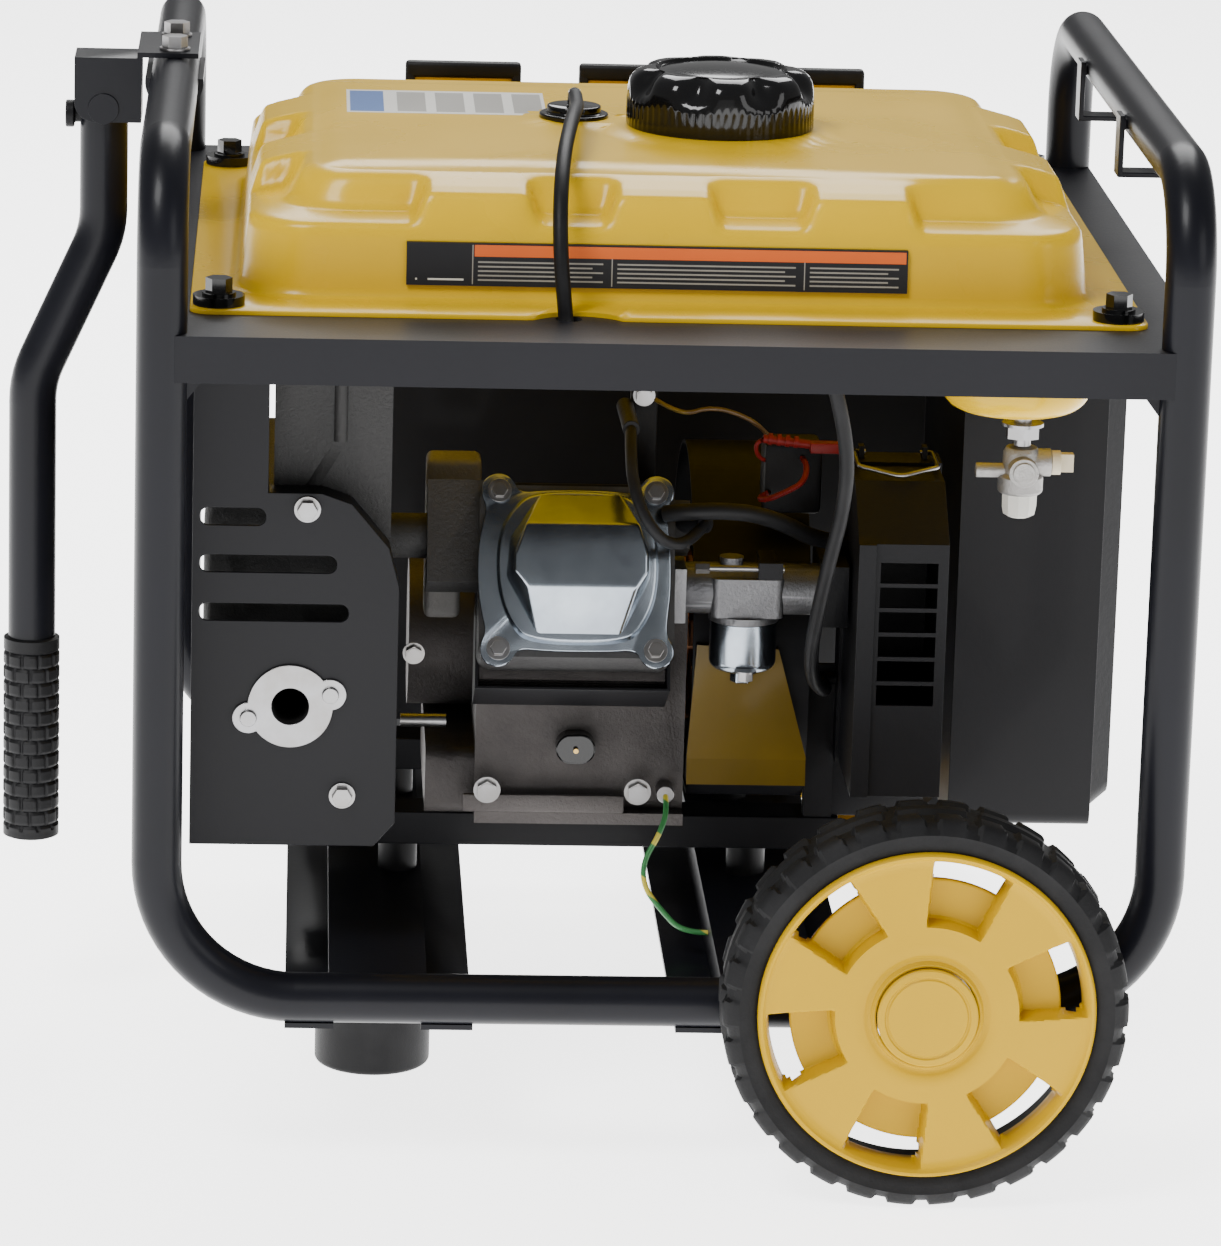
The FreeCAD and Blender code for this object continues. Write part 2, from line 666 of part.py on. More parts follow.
def valve_cover():
    """A pressed cover with a six-sided dome and an ear at each corner."""
    flange = slanted_block(50.0, 46.0, 196.2, 199.0)
    flange = soften(flange, 10.0, lambda edge: along(V(*cylinder_normal))(edge))
    flange = flange.fuse(slanted_block(55.0, 30.0, 196.2, 199.0))
    ears = [Part.makeCylinder(11.0, 2.8, on_cylinder(196.2, sz * 46.0, sx * 45.0), V(*cylinder_normal))
            for sx in (-1, 1) for sz in (-1, 1)]
    step = slanted_block(45.0, 36.0, 199.0, 206.0)
    step = soften(step, 14.0, lambda edge: along(V(*cylinder_normal))(edge))
    outline = [(-22, 44), (25, 44), (42, 15), (42, -5), (25, -39), (-23, -39), (-41, -5), (-39, 18)]
    low = Part.makePolygon([on_cylinder(206.0, u, x) for x, u in outline + outline[:1]])
    high = Part.makePolygon([on_cylinder(222.0, u * 0.72, x * 0.88) for x, u in outline + outline[:1]])
    dome = Part.makeLoft([low, high], True, True)
    cover = fuse([flange, step, dome] + ears)
    for sx in (-1, 1):
        for sz in (-1, 1):
            cover = cover.cut(Part.makeCylinder(3.1, 20.0, on_cylinder(190, sz * 46.0, sx * 45.0),
                                                V(*cylinder_normal)))
    cover = cover.fuse(nipple(4.6, breather_route, 16.0, False).cut(slanted_block(70, 70, 100, 196.2)))
    cavity = slanted_block(40.0, 30.0, 190.0, 203.0)
    return cover.cut(cavity)


shield_bolt_place = ((-200.0, 366.0), (-178.0, 200.0))


def flange_bolts():
    """The small plated bolts of the valve cover and of the muffler shield."""
    bolts = [flange_bolt(on_cylinder(199.1, sz * 46.0, sx * 45.0), cylinder_normal, 8.0, 5.5, 6.8, 3.0, 2.6)
             for sx in (-1, 1) for sz in (-1, 1)]
    bolts += [flange_bolt((x, shield_front, z), (0, -1, 0), 10.0, 6.5, 7.5, 3.0, 1.9)
              for x, z in shield_bolt_place]
    return Part.makeCompound(bolts)


def engine_shroud():
    """The black air guide over the barrel, open in front for the head."""
    outer = slanted_block(56.6, 61.0, 92.0, 149.8)
    inner = slanted_block(54.6, 59.0, 80.0, 160.0)
    guide = outer.cut(inner).cut(block(-120, 30, -90, 130, 120, 293))
    return max(guide.Solids, key=lambda solid: solid.Volume)


fan_x = (27.0, 96.0)


def fan_profile(grow):
    """The housing's outline round the crank axis: round above, flat below."""
    y, z = crank_axis
    low = 158.0 - grow
    radius = 118.0 + grow
    half = math.sqrt(radius ** 2 - (z - low) ** 2)
    start, top, end = V(0, y - half, low), V(0, y, z + radius), V(0, y + half, low)
    arc = Part.Arc(start, top, end).toShape()
    return Part.Face(Part.Wire([arc, Part.LineSegment(end, start).toShape()]))


guide_outline = [(25, 173), (95, 173), (95, 190), (77, 255), (29, 257), (25, 184)]
guide_front = -97.5


def air_guide():
    """The pressed plate that stands forward of the housing's lower front."""
    face = Part.Face(Part.makePolygon([V(x, guide_front, z) for x, z in guide_outline + guide_outline[:1]]))
    inner = face.makeOffset2D(-2.0)
    inner.translate(V(0, 2, 0))
    return face.extrude(V(0, 22, 0)).cut(inner.extrude(V(0, 30, 0)))


def fan_housing():
    """The yellow blower housing round the flywheel, open on the engine side."""
    outer = fan_profile(0.0)
    outer.translate(V(fan_x[0], 0, 0))
    outer = outer.extrude(V(fan_x[1] - fan_x[0], 0, 0))
    inner = fan_profile(-2.0)
    inner.translate(V(fan_x[0] - 1, 0, 0))
    inner = inner.extrude(V(fan_x[1] - fan_x[0] - 1, 0, 0))
    y, z = crank_axis
    housing = outer.cut(inner).fuse(air_guide().cut(inner)).removeSplitter()
    return housing.cut(rod(40.0, (fan_x[1] - 5, y, z), (fan_x[1] + 5, y, z)))


def crankshaft():
    y, z = crank_axis
    shaft = rod(12.5, (-110.0, y, z), (70.0, y, z))
    webs = [rod(38.0, (x, y, z), (x + 14.0, y, z)) for x in (-76.0, -28.0)]
    return fuse([shaft] + webs)


def flywheel():
    """The magnet cup that is also the fan, keyed to the crankshaft; it opens to the engine."""
    y, z = crank_axis
    cup = rod(62.0, (32.0, y, z), (62.0, y, z)).cut(rod(52.0, (31.0, y, z), (54.0, y, z)))
    for i in range(12):
        vane = block(61.0, 77.0, -2.0, 2.0, 34.0, 66.0)
        vane.rotate(V(0, 0, 0), V(1, 0, 0), 30.0 * i)
        vane.translate(V(0, y, z))
        cup = cup.fuse(vane)
    return cup.removeSplitter().cut(rod(12.5, (20, y, z), (90, y, z)))


def stator():
    """The alternator's fixed winding inside the magnet cup: a core with twelve coils."""
    y, z = crank_axis
    core = rod(30.0, (24.0, y, z), (50.0, y, z))
    for i in range(12):
        coil = block(30.0, 48.0, -7.0, 7.0, 26.0, 50.8)
        coil.rotate(V(0, 0, 0), V(1, 0, 0), 30.0 * i + 15.0)
        coil.translate(V(0, y, z))
        core = core.fuse(coil)
    return core.removeSplitter().cut(rod(20.0, (20, y, z), (90, y, z)))


def recoil_grip():
    """The starter pull grip, seated in the fascia."""
    y, z = 96.0, 232.0
    x = cabinet_x[1] + fascia_proud
    stem = rod(6.0, (x - 8.0, y, z), (x + 0.5, y, z))
    bar = block(x + 0.4, x + 4.5, y - 34.0, y + 34.0, z - 9.0, z + 9.0)
    bar = soften(bar, 1.8, along(V(0, 1, 0)))
    return stem.fuse(bar)


# ---- carburettor and air cleaner ----
carb_centre = (54.0, -119.0)


def carburettor():
    x, y = carb_centre
    body = block(34, 76, y - 17, y + 17, 283, 306)
    body = soften(body, 5.0, along(V(0, 0, 1)))
    throat = rod(15.0, (14.0, y, 297.0), (97.0, y, 297.0))
    flange = block(12.0, 18.5, y - 26, y + 26, 282, 314)
    rim = rod(20.5, (x, y, 279.0), (x, y, 283.0))
    top = rod(7.0, (x - 8, y, 306), (x - 8, y, 316))
    shape = fuse([body, throat, flange, rim, top])
    shape = shape.cut(rod(10.0, (10.0, y, 297.0), (120.0, y, 297.0)))
    return shape.cut(rod(2.56, (66.0, y, 295), (66.0, y, 330)))


def float_bowl():
    x, y = carb_centre
    bowl = rod(19.5, (x, y, 249.0), (x, y, 279.0))
    bowl = bowl.makeFillet(6.0, [edge for edge in bowl.Edges if edge.BoundBox.ZMax < 249.1
                                 and edge.Length > 60])
    drain = hexagon(12.0, (x, y, 241.0), 8.0)
    return fuse([bowl, drain])


def choke_lever():
    """A flat lever on top of the carburettor that turns the choke plate's spindle."""
    x, y = 66.0, carb_centre[1]
    spindle = rod(2.5, (x, y, 300.0), (x, y, 318.0))
    arm = block(x - 5, x + 5, y - 34, y + 6, 316.0, 318.5)
    tip = block(x - 7, x + 7, y - 40, y - 34, 312.0, 322.0)
    return fuse([spindle, arm, tip])


air_box_x = (115.0, 167.0)
air_box_z = (187.0, 343.0)
air_split = -92.0
air_front = -170.0


def air_outline(grow):
    """The cleaner box from the side: upright front, and a top that slopes up to the back."""
    z0, z1 = air_box_z
    return [(air_front - grow, z0 - grow), (air_front - grow, z1 - 6), (air_front + 8, z1 + grow),
            (air_front + 40, z1 + 22 + grow), (air_split, z1 + 22 + grow), (air_split, z0 - grow)]


def air_prism(grow, x0, x1):
    outline = air_outline(grow)
    wire = Part.makePolygon([V(x0, y, z) for y, z in outline + outline[:1]])
    return Part.Face(wire).extrude(V(x1 - x0, 0, 0))


def air_cleaner_cover():
    x0, x1 = air_box_x
    cover = air_prism(0.0, x0, x1).cut(air_prism(-2.5, x0 + 2.5, x1 - 2.5))
    for i in range(6):
        z = 326.0 - 14.5 * i
        slot = block(x0 + 13, x1 - 6, air_front - 2, air_front + 4, z - 12.0, z)
        cover = cover.cut(slot)
    rib = block(x0, x0 + 10, air_front - 3, air_front, air_box_z[0], air_box_z[1] - 6)
    return fuse([cover, rib, nipple(4.6, breather_route, 11.0)])


def air_cleaner_base():
    """The back half of the cleaner with the duct that joins it to the carburettor."""
    x0, x1 = air_box_x
    z0, z1 = air_box_z
    carb_y = carb_centre[1]
    base = block(x0 - 2, x1 + 2, air_split, air_split + 26, z0 - 2, z1 + 24)
    base = base.cut(block(x0 + 2, x1 - 2, air_split - 1, air_split + 22, z0 + 2, z1 + 18))
    duct = block(97.0, x0 - 2.0, carb_y - 19, air_split + 20, 279, 315)
    duct = duct.cut(block(99.5, x0 - 4.5, carb_y - 16.5, air_split + 17, 281.5, 312.5))
    duct = duct.cut(rod(10.0, (96.0, carb_y, 297.0), (100.0, carb_y, 297.0)))
    hinge_y, hinge_z = clip_hinge
    for x in (x0 + 6.0, x1 - 9.0):
        base = base.fuse(block(x, x + 3, hinge_y - 4, hinge_y + 4, z1 + 23, hinge_z + 4))
    base = base.cut(rod(1.47, (x0, hinge_y, hinge_z), (x1, hinge_y, hinge_z)))
    turn = air_hose_route[-1]
    spigot = rod(3.5, (turn[0], air_split + 16, turn[2]), (x0 - 1.5, air_split + 16, turn[2]))
    stay = block(97.0, x0 - 1.5, -74, -71, rail_top + 0.2, 240)
    return fuse([base, duct, nipple(3.5, air_hose_route, 18.0), spigot, stay])


clip_hinge = (air_split + 12.0, air_box_z[1] + 27.5)


def cover_clip():
    """The wire bail that holds the cleaner's cover; its turned-in ends sit in two ears of the base."""
    y, z = clip_hinge
    x0, x1 = air_box_x
    reach = air_front + 52
    wire = [(x0 + 10, y, z), (x0 + 3, y, z), (x0 + 3, reach, z), (x0 + 26, reach - 18, z - 1.5),
            (x1 - 3, reach, z), (x1 - 3, y, z), (x1 - 10, y, z)]
    return sweep(wire, [3.0, 6.0, 6.0, 6.0, 3.0], 1.4)


# ---- exhaust ----
shield_front = -227.0
shield_sheet = 2.0


shield_outline = [(-264, 170), (-160, 170), (-148, 184), (-148, 321), (-154, 344), (-175, 369),
                  (-192, 375), (-222, 375), (-222, 445), (-264, 445)]


def muffler_shield():
    """A pressed shield with a turned edge: cut back at upper right, with a tongue at upper left."""
    outline = shield_outline
    face = Part.Face(Part.makePolygon([V(x, shield_front, z) for x, z in outline + outline[:1]]))
    inner = face.makeOffset2D(-shield_sheet)
    inner.translate(V(0, shield_sheet, 0))
    shell = face.extrude(V(0, 20, 0)).cut(inner.extrude(V(0, 30, 0)))
    for x1, z in ((-223, 361), (-183, 334), (-176, 306)):
        slot = block(-260, x1, shield_front - 5, shield_front + 5, z - 5, z + 5)
        slot = soften(slot, 4.9, along(V(0, 1, 0)))
        shell = shell.cut(slot)
    shell = shell.cut(rod(21.0, (outlet[0], shield_front - 5, outlet[1]), (outlet[0], -200, outlet[1])))
    for x, z in shield_bolt_place:
        shell = shell.cut(rod(3.1, (x, shield_front - 5, z), (x, -200, z)))
    return shell.removeSplitter()


outlet = (-208.0, 252.0)


def muffler():
    """The silencer can behind the shield, with its inlet pipe from the head's exhaust port."""
    can = block(-258, -156, -200, -20, 182, 372)
    can = soften(can, 20.0, along(V(0, 1, 0)))
    can = soften(can, 5.0, lambda edge: edge.BoundBox.YLength < 0.1)
    inside = block(-256, -158, -198, -22, 184, 370)
    can = can.cut(soften(inside, 18.0, along(V(0, 1, 0))))
    port = on_cylinder(174.0, 24.0)
    pipe_y, pipe_z = port.y, port.z
    pipe = rod(13.0, (-170.0, pipe_y, pipe_z), (cylinder_x - 86.2, pipe_y, pipe_z))
    nozzle = rod(20.0, (outlet[0], shield_front + 1.0, outlet[1]), (outlet[0], -198, outlet[1]))
    bosses = [rod(7.0, (x, shield_front + shield_sheet, z), (x, -198, z)) for x, z in shield_bolt_place]
    stay = fuse([block(-219, -153, -205, -202.5, 345, 445), block(-214, -160, -203, -199.5, 345, 364),
                 rod(4.0, (-182, -203.75, 400), (-182, -203.75, tray_top - tray_sheet))])
    shape = fuse([can, pipe, nozzle, stay] + bosses)
    return shape.cut(rod(10.5, (outlet[0], shield_front - 5, outlet[1]), (outlet[0], -150, outlet[1])))


def spark_arrester():
    """The plated outlet flange with two screw ears."""
    x, z = outlet
    front = shield_front - 2.0
    disc = rod(24.0, (x, front, z), (x, shield_front, z))
    ears = [rod(9.0, (x + dx, front, z + dz), (x + dx, shield_front, z + dz))
            for dx, dz in ((-23.5, -7.0), (22.5, 7.0))]
    screws = [rod(4.6, (x + dx, front - 2.6, z + dz), (x + dx, front, z + dz))
              for dx, dz in ((-23.5, -7.0), (22.5, 7.0))]
    pipe = rod(20.0, (x, shield_front, z), (x, shield_front + 0.9, z))
    body = fuse([disc, pipe] + ears + screws)
    return body.cut(rod(10.5, (x, front - 5, z), (x, -200, z)))


# ---- control cabinet ----
def control_cabinet():
    """A sheet box at the right end with a flat wing along the far side, louvred outward."""
    x0, x1 = cabinet_x
    y0, y1 = cabinet_y
    z0, z1 = cabinet_z
    wall = 3.0
    box = soften(block(x0, x1, y0, y1, z0, z1), 8.0, along(V(1, 0, 0)))
    wing = block(wing_left, x0 + 1, wing_y[0], wing_y[1], z0, z1)
    box = box.fuse(wing)
    box = box.cut(block(x0 + wall, x1 + 1, y0 + wall, y1 - wall, z0 + wall, z1 - wall))
    sheet = 1.5
    box = box.cut(block(wing_left + sheet, x0 + wall + 1, wing_y[0] + sheet, wing_y[1] - sheet,
                        z0 + sheet, z1 - sheet))
    for i in range(8):
        z = z0 + 60.0 + 22.0 * i
        box = box.cut(block(-150, -10, wing_y[1] - 2, wing_y[1] + 2, z, z + 9))
    lugs = [block(248, 272, y, y + 3, z1 - 3, tray_top - tray_sheet) for y in (30.0, 185.0)]
    legs = [block(x - 14, x + 14, wing_y[0] + 8, wing_y[0] + 11, crossmember_top, z0 + 1)
            for x in (-156.5, 64.5)]
    return fuse([box] + lugs + legs)


def control_fascia():
    """The moulded end panel: raised, with drafted sides, recessed for the switch and sockets."""
    x0 = cabinet_x[1]
    proud = fascia_proud
    y_mid = (cabinet_y[0] + cabinet_y[1]) / 2.0
    z_mid = (cabinet_z[0] + cabinet_z[1]) / 2.0
    half_y = (cabinet_y[1] - cabinet_y[0]) / 2.0
    half_z = (cabinet_z[1] - cabinet_z[0]) / 2.0
    low = rounded_rectangle(half_z - 6.0, half_y - 12.0, 0.0, 12.0)
    high = rounded_rectangle(half_z - 14.0, half_y - 24.0, proud, 10.0)
    panel = Part.makeLoft([low, high], True, True)
    panel.rotate(V(0, 0, 0), V(0, 1, 0), 90)
    panel.translate(V(x0, y_mid, z_mid))
    front = x0 + proud
    back = block(x0 - 1, front - 3.5, cabinet_y[0] + 32, cabinet_y[1] - 32, cabinet_z[0] + 24, 300)
    panel = panel.cut(back)
    for y, z in socket_places:
        panel = panel.cut(rod(22.0, (front - 9.0, y, z), (front + 1, y, z)))
    sy, sz = switch_place
    panel = panel.cut(block(front - 9.0, front + 1, sy - 10, sy + 10, sz - 14, sz + 14))
    by, bz = breaker_place
    panel = panel.cut(rod(5.06, (front - 11.0, by, bz), (front + 1, by, bz)))
    return panel.cut(rod(6.3, (front - 11.0, 96.0, 232.0), (front + 1, 96.0, 232.0)))


socket_places = ((70.0, 372.0), (140.0, 372.0))
switch_place = (205.0, 372.0)
breaker_place = (205.0, 320.0)


def socket_lid(index):
    """A sprung flap over one outlet, hinged along its upper edge."""
    y, z = socket_places[index]
    front = cabinet_x[1] + fascia_proud
    lid = rod(24.0, (front + 0.3, y, z), (front + 3.0, y, z))
    knuckle = rod(2.0, (front + 2.2, y - 10, z + 25.0), (front + 2.2, y + 10, z + 25.0))
    tab = block(front + 0.3, front + 3.0, y - 10, y + 10, z + 18, z + 25)
    return fuse([lid, knuckle, tab])


def engine_switch():
    y, z = switch_place
    front = cabinet_x[1] + fascia_proud
    outline = [(-4.0, -9.5), (2.4, -9.5), (0.2, 0.0), (3.6, 9.5), (-4.0, 9.5)]
    wire = Part.makePolygon([V(front + dx, y - 9.0, z + dz) for dx, dz in outline + outline[:1]])
    return Part.Face(wire).extrude(V(0, 18.0, 0))


def breaker_button():
    y, z = breaker_place
    front = cabinet_x[1] + fascia_proud
    return rod(5.0, (front - 6.0, y, z), (front + 4.2, y, z))


model = {
    "front_frame_tube": base_tube(-1),
    "rear_frame_tube": base_tube(1),
    "left_hoop": left_hoop(),
    "right_hoop": hoop(1),
    "tank_tray": tank_tray(),
    "crossmembers": crossmembers(),
    "engine_rails": engine_rails(),
    "engine_isolators": engine_isolators(),
    "support_feet": support_feet(),
    "stub_axles": stub_axles(),
    "rail_hooks": rail_hooks(),
    "front_tyre": mirrored_y(tyre()),
    "front_rim": mirrored_y(rim()),
    "front_hub_cap": mirrored_y(hub_cap()),
    "rear_tyre": tyre(),
    "rear_rim": rim(),
    "rear_hub_cap": hub_cap(),
    "handle_bracket": handle_bracket(),
    "handle_saddle": handle_saddle(),
    "handle_clamp_bolts": handle_clamp_bolts(),
    "handle_tube": handle_tube(),
    "handle_grip": handle_grip(),
    "handle_lock_button": handle_lock_button(),
    "tank_upper": tank_upper(),
    "tank_lower": tank_lower(),
    "fuel_cap": fuel_cap(),
    "tank_bolts": tank_bolts(),
    "tank_vent_cap": tank_vent_cap(),
    "vent_hose": cord_tube("vent_hose", vent_route, hose_diameter),
    "fuel_valve": fuel_valve(),
    "fuel_valve_lever": fuel_valve_lever(),
    "engine_block": engine_block(),
    "cylinder_head": cylinder_head(),
    "valve_cover": valve_cover(),
    "flange_bolts": flange_bolts(),
    "engine_shroud": engine_shroud(),
    "fan_housing": fan_housing(),
    "crankshaft": crankshaft(),
    "flywheel": flywheel(),
    "stator": stator(),
    "carburettor": carburettor(),
    "float_bowl": float_bowl(),
    "choke_lever": choke_lever(),
    "air_cleaner_base": air_cleaner_base(),
    "air_cleaner_cover": air_cleaner_cover(),
    "cover_clip": cover_clip(),
    "muffler": muffler(),
    "muffler_shield": muffler_shield(),
    "spark_arrester": spark_arrester(),
    "air_hose": cord_tube("air_hose", air_hose_route, hose_diameter),
    "ground_wire": cord_tube("ground_wire", ground_route, 3.2),
    "breather_hose": cord_tube("breather_hose", breather_route, 10.0),
    "plug_lead": cord_tube("plug_lead", lead_route, 7.0),
    "control_cabinet": control_cabinet(),
    "control_fascia": control_fascia(),
    "engine_switch": engine_switch(),
    "breaker_button": breaker_button(),
    "socket_lid_left": socket_lid(0),
    "socket_lid_right": socket_lid(1),
    "recoil_grip": recoil_grip(),
}

os.makedirs("parts", exist_ok=True)
for name, shape in model.items():
    placed = shape.copy()
    placed.translate(V(origin_shift, 0, 0))
    placed.exportStep("parts/" + name + ".step")
    print(name, "solids", len(shape.Solids), "valid", shape.isValid(), "volume", round(shape.Volume))
print("nodes", len(model), "origin shift", round(origin_shift, 3))
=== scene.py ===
import bpy
import bmesh
import json
import math
from mathutils import Matrix, Vector

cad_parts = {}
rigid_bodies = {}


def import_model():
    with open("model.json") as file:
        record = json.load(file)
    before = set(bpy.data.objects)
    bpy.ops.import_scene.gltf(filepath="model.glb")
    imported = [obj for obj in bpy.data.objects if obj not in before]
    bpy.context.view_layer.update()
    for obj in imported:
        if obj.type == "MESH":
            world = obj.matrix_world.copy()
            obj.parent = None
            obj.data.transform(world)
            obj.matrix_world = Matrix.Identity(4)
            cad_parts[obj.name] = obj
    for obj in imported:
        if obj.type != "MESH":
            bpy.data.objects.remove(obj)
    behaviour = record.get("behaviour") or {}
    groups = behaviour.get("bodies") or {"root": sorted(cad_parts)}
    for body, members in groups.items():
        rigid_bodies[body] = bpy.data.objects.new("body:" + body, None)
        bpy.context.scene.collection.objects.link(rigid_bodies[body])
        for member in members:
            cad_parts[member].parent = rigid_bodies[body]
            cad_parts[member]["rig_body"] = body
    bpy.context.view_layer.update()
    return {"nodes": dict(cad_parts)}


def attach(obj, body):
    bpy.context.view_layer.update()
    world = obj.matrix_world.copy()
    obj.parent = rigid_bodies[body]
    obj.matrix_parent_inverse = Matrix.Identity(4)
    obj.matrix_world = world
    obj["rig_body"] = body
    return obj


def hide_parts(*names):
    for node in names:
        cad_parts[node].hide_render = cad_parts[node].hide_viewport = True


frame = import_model()

shiftX = 42.4  # the row frame's origin is this far left of the cradle's middle
mm = 0.001


def place(x, y, z):
    return Vector(((x + shiftX) * mm, y * mm, z * mm))


# where the view is taken from
cameraView = {"at": (-0.165258, -3.568221, 1.174896), "lens": 177.72,
              "pitch": 14.606, "yaw": 3.062, "roll": 1.659}


def addCamera(v):
    pitch, yaw, roll = (math.radians(v[k]) for k in ("pitch", "yaw", "roll"))
    ahead = Vector((math.sin(yaw) * math.cos(pitch), math.cos(yaw) * math.cos(pitch), -math.sin(pitch)))
    right = Vector((math.cos(yaw), -math.sin(yaw), 0))
    up = right.cross(ahead)
    rightTilted = right * math.cos(roll) + up * math.sin(roll)
    upTilted = up * math.cos(roll) - right * math.sin(roll)
    data = bpy.data.cameras.new("viewCamera")
    data.lens = v["lens"]
    data.sensor_fit = "VERTICAL"
    data.sensor_height = 36.0
    data.clip_end = 50
    camera = bpy.data.objects.new("viewCamera", data)
    turn = Matrix((rightTilted, upTilted, -ahead)).transposed()
    camera.matrix_world = Matrix.Translation(v["at"]) @ turn.to_4x4()
    bpy.context.scene.collection.objects.link(camera)
    bpy.context.scene.camera = camera


addCamera(cameraView)
print("camera placed")


# finishes
class Wire:
    # a socket that can be added, scaled and clamped, so a pattern reads as a sum
    def __init__(self, tree, socket):
        self.tree, self.socket = tree, socket

    def math(self, operation, other=0.0, swap=False):
        node = self.tree.nodes.new("ShaderNodeMath")
        node.operation = operation
        parts = [other, self] if swap else [self, other]
        for i, part in enumerate(parts):
            if isinstance(part, Wire):
                self.tree.links.new(part.socket, node.inputs[i])
            else:
                node.inputs[i].default_value = part
        return Wire(self.tree, node.outputs[0])

    def __add__(self, other):
        return self.math("ADD", other)

    def __radd__(self, other):
        return self.math("ADD", other, True)

    def __sub__(self, other):
        return self.math("SUBTRACT", other)

    def __mul__(self, other):
        return self.math("MULTIPLY", other)

    def clamp(self):
        return self.math("MAXIMUM", 0.0).math("MINIMUM", 1.0)

    def step(self, low, high):
        return ((self - low) * (1.0 / (high - low))).clamp()


class Finish:
    def __init__(self, name):
        self.material = bpy.data.materials.new(name)
        self.material.use_nodes = True
        self.tree = self.material.node_tree
        self.shader = self.tree.nodes["Principled BSDF"]
        self.coords = self.node("ShaderNodeTexCoord").outputs["Object"]

    def node(self, kind, inputs=None, **settings):
        made = self.tree.nodes.new(kind)
        for key, value in settings.items():
            setattr(made, key, value)
        for key, value in (inputs or {}).items():
            self.feed(made.inputs[key], value)
        return made

    def feed(self, socket, value):
        if isinstance(value, Wire):
            value = value.socket
        if isinstance(value, bpy.types.NodeSocket):
            self.tree.links.new(value, socket)
        else:
            socket.default_value = value

    def noise(self, scale, detail=3.0, rough=0.55):
        settings = {"Vector": self.coords, "Scale": scale, "Detail": detail, "Roughness": rough}
        made = self.node("ShaderNodeTexNoise", settings)
        return Wire(self.tree, made.outputs["Fac"])

    def cells(self, scale):
        made = self.node("ShaderNodeTexVoronoi", {"Vector": self.coords, "Scale": scale})
        return Wire(self.tree, made.outputs["Distance"])

    def mix(self, fac, a, b):
        made = self.node("ShaderNodeMix", data_type="RGBA")
        self.feed(made.inputs["Factor"], fac)
        for socket, value in ((made.inputs[6], a), (made.inputs[7], b)):
            self.feed(socket, value if isinstance(value, bpy.types.NodeSocket) else (*value, 1.0))
        return made.outputs[2]

    def edges(self, low=0.52, high=0.6):
        made = self.node("ShaderNodeNewGeometry")
        return Wire(self.tree, made.outputs["Pointiness"]).step(low, high)

    def bump(self, height, strength, distance=0.001):
        made = self.node("ShaderNodeBump", {"Height": height, "Strength": strength, "Distance": distance})
        self.feed(self.shader.inputs["Normal"], made.outputs[0])

    def fixed(self, **values):
        for key, value in values.items():
            self.shader.inputs[key.replace("_", " ")].default_value = value
        return self

    def varied(self, color=None, roughness=None, metallic=None):
        for key, value in (("Base Color", color), ("Roughness", roughness), ("Metallic", metallic)):
            if value is not None:
                self.feed(self.shader.inputs[key], value)
        return self


def paintFinish(name, color, dark, rough, peel, coat=0.0, grain=0.0, specular=0.14):
    f = Finish(name)
    cloud = f.noise(9.0, 4.0)
    tone = f.mix(cloud.step(0.3, 0.75), dark, color)
    speck = f.noise(700.0, 2.0)
    f.varied(tone, rough + (cloud - 0.5) * 0.12 + (speck - 0.5) * grain)
    f.bump(f.noise(260.0, 2.0) * 0.7 + speck * 0.3, peel, 0.0006)
    f.fixed(Coat_Weight=coat, Coat_Roughness=0.08, Specular_IOR_Level=specular)
    return f.material


def castFinish(name, color, dark, metallic, rough):
    f = Finish(name)
    lumps = f.noise(420.0, 5.0, 0.7)
    stain = f.noise(24.0, 4.0)
    tone = f.mix(stain.step(0.3, 0.7), dark, color)
    tone = f.mix(f.edges(0.51, 0.58) * 0.6, tone, tuple(min(1.0, c * 1.7) for c in color))
    f.varied(tone, rough + (lumps - 0.5) * 0.3, metallic + (stain - 0.5) * 0.2)
    f.bump(lumps, 0.55, 0.0012)
    return f.material


def zincFinish(name, color, tint, rough):
    f = Finish(name)
    patches = f.cells(160.0)
    cloud = f.noise(36.0, 4.0)
    tone = f.mix(cloud.step(0.35, 0.7), tint, color)
    f.varied(tone, rough + patches * 0.04 + (cloud - 0.5) * 0.08, 1.0)
    f.bump(f.noise(900.0, 2.0) + patches * 0.1, 0.08, 0.0004)
    return f.material


def rubberFinish(name, color, rough, bumps, scale=900.0):
    f = Finish(name)
    fine = f.noise(scale, 3.0)
    dust = f.noise(30.0, 4.0)
    tone = f.mix(dust.step(0.45, 0.8) * 0.5, color, tuple(c * 2.2 + 0.008 for c in color))
    f.varied(tone, rough + (fine - 0.5) * 0.2)
    f.bump(fine, bumps, 0.0005)
    f.fixed(Specular_IOR_Level=0.16)
    return f.material


def stripedFinish(name, base, stripe):
    f = Finish(name)
    split = f.node("ShaderNodeSeparateXYZ", {"Vector": f.coords})
    x, y, z = (Wire(f.tree, split.outputs[i]) for i in range(3))
    band = ((x * 130.0 + z * 190.0 + y * 60.0).math("SINE")).step(0.55, 0.7)
    f.varied(f.mix(band, base, stripe), 0.42 + (f.noise(500.0) - 0.5) * 0.1)
    f.bump(f.noise(800.0), 0.1, 0.0003)
    return f.material


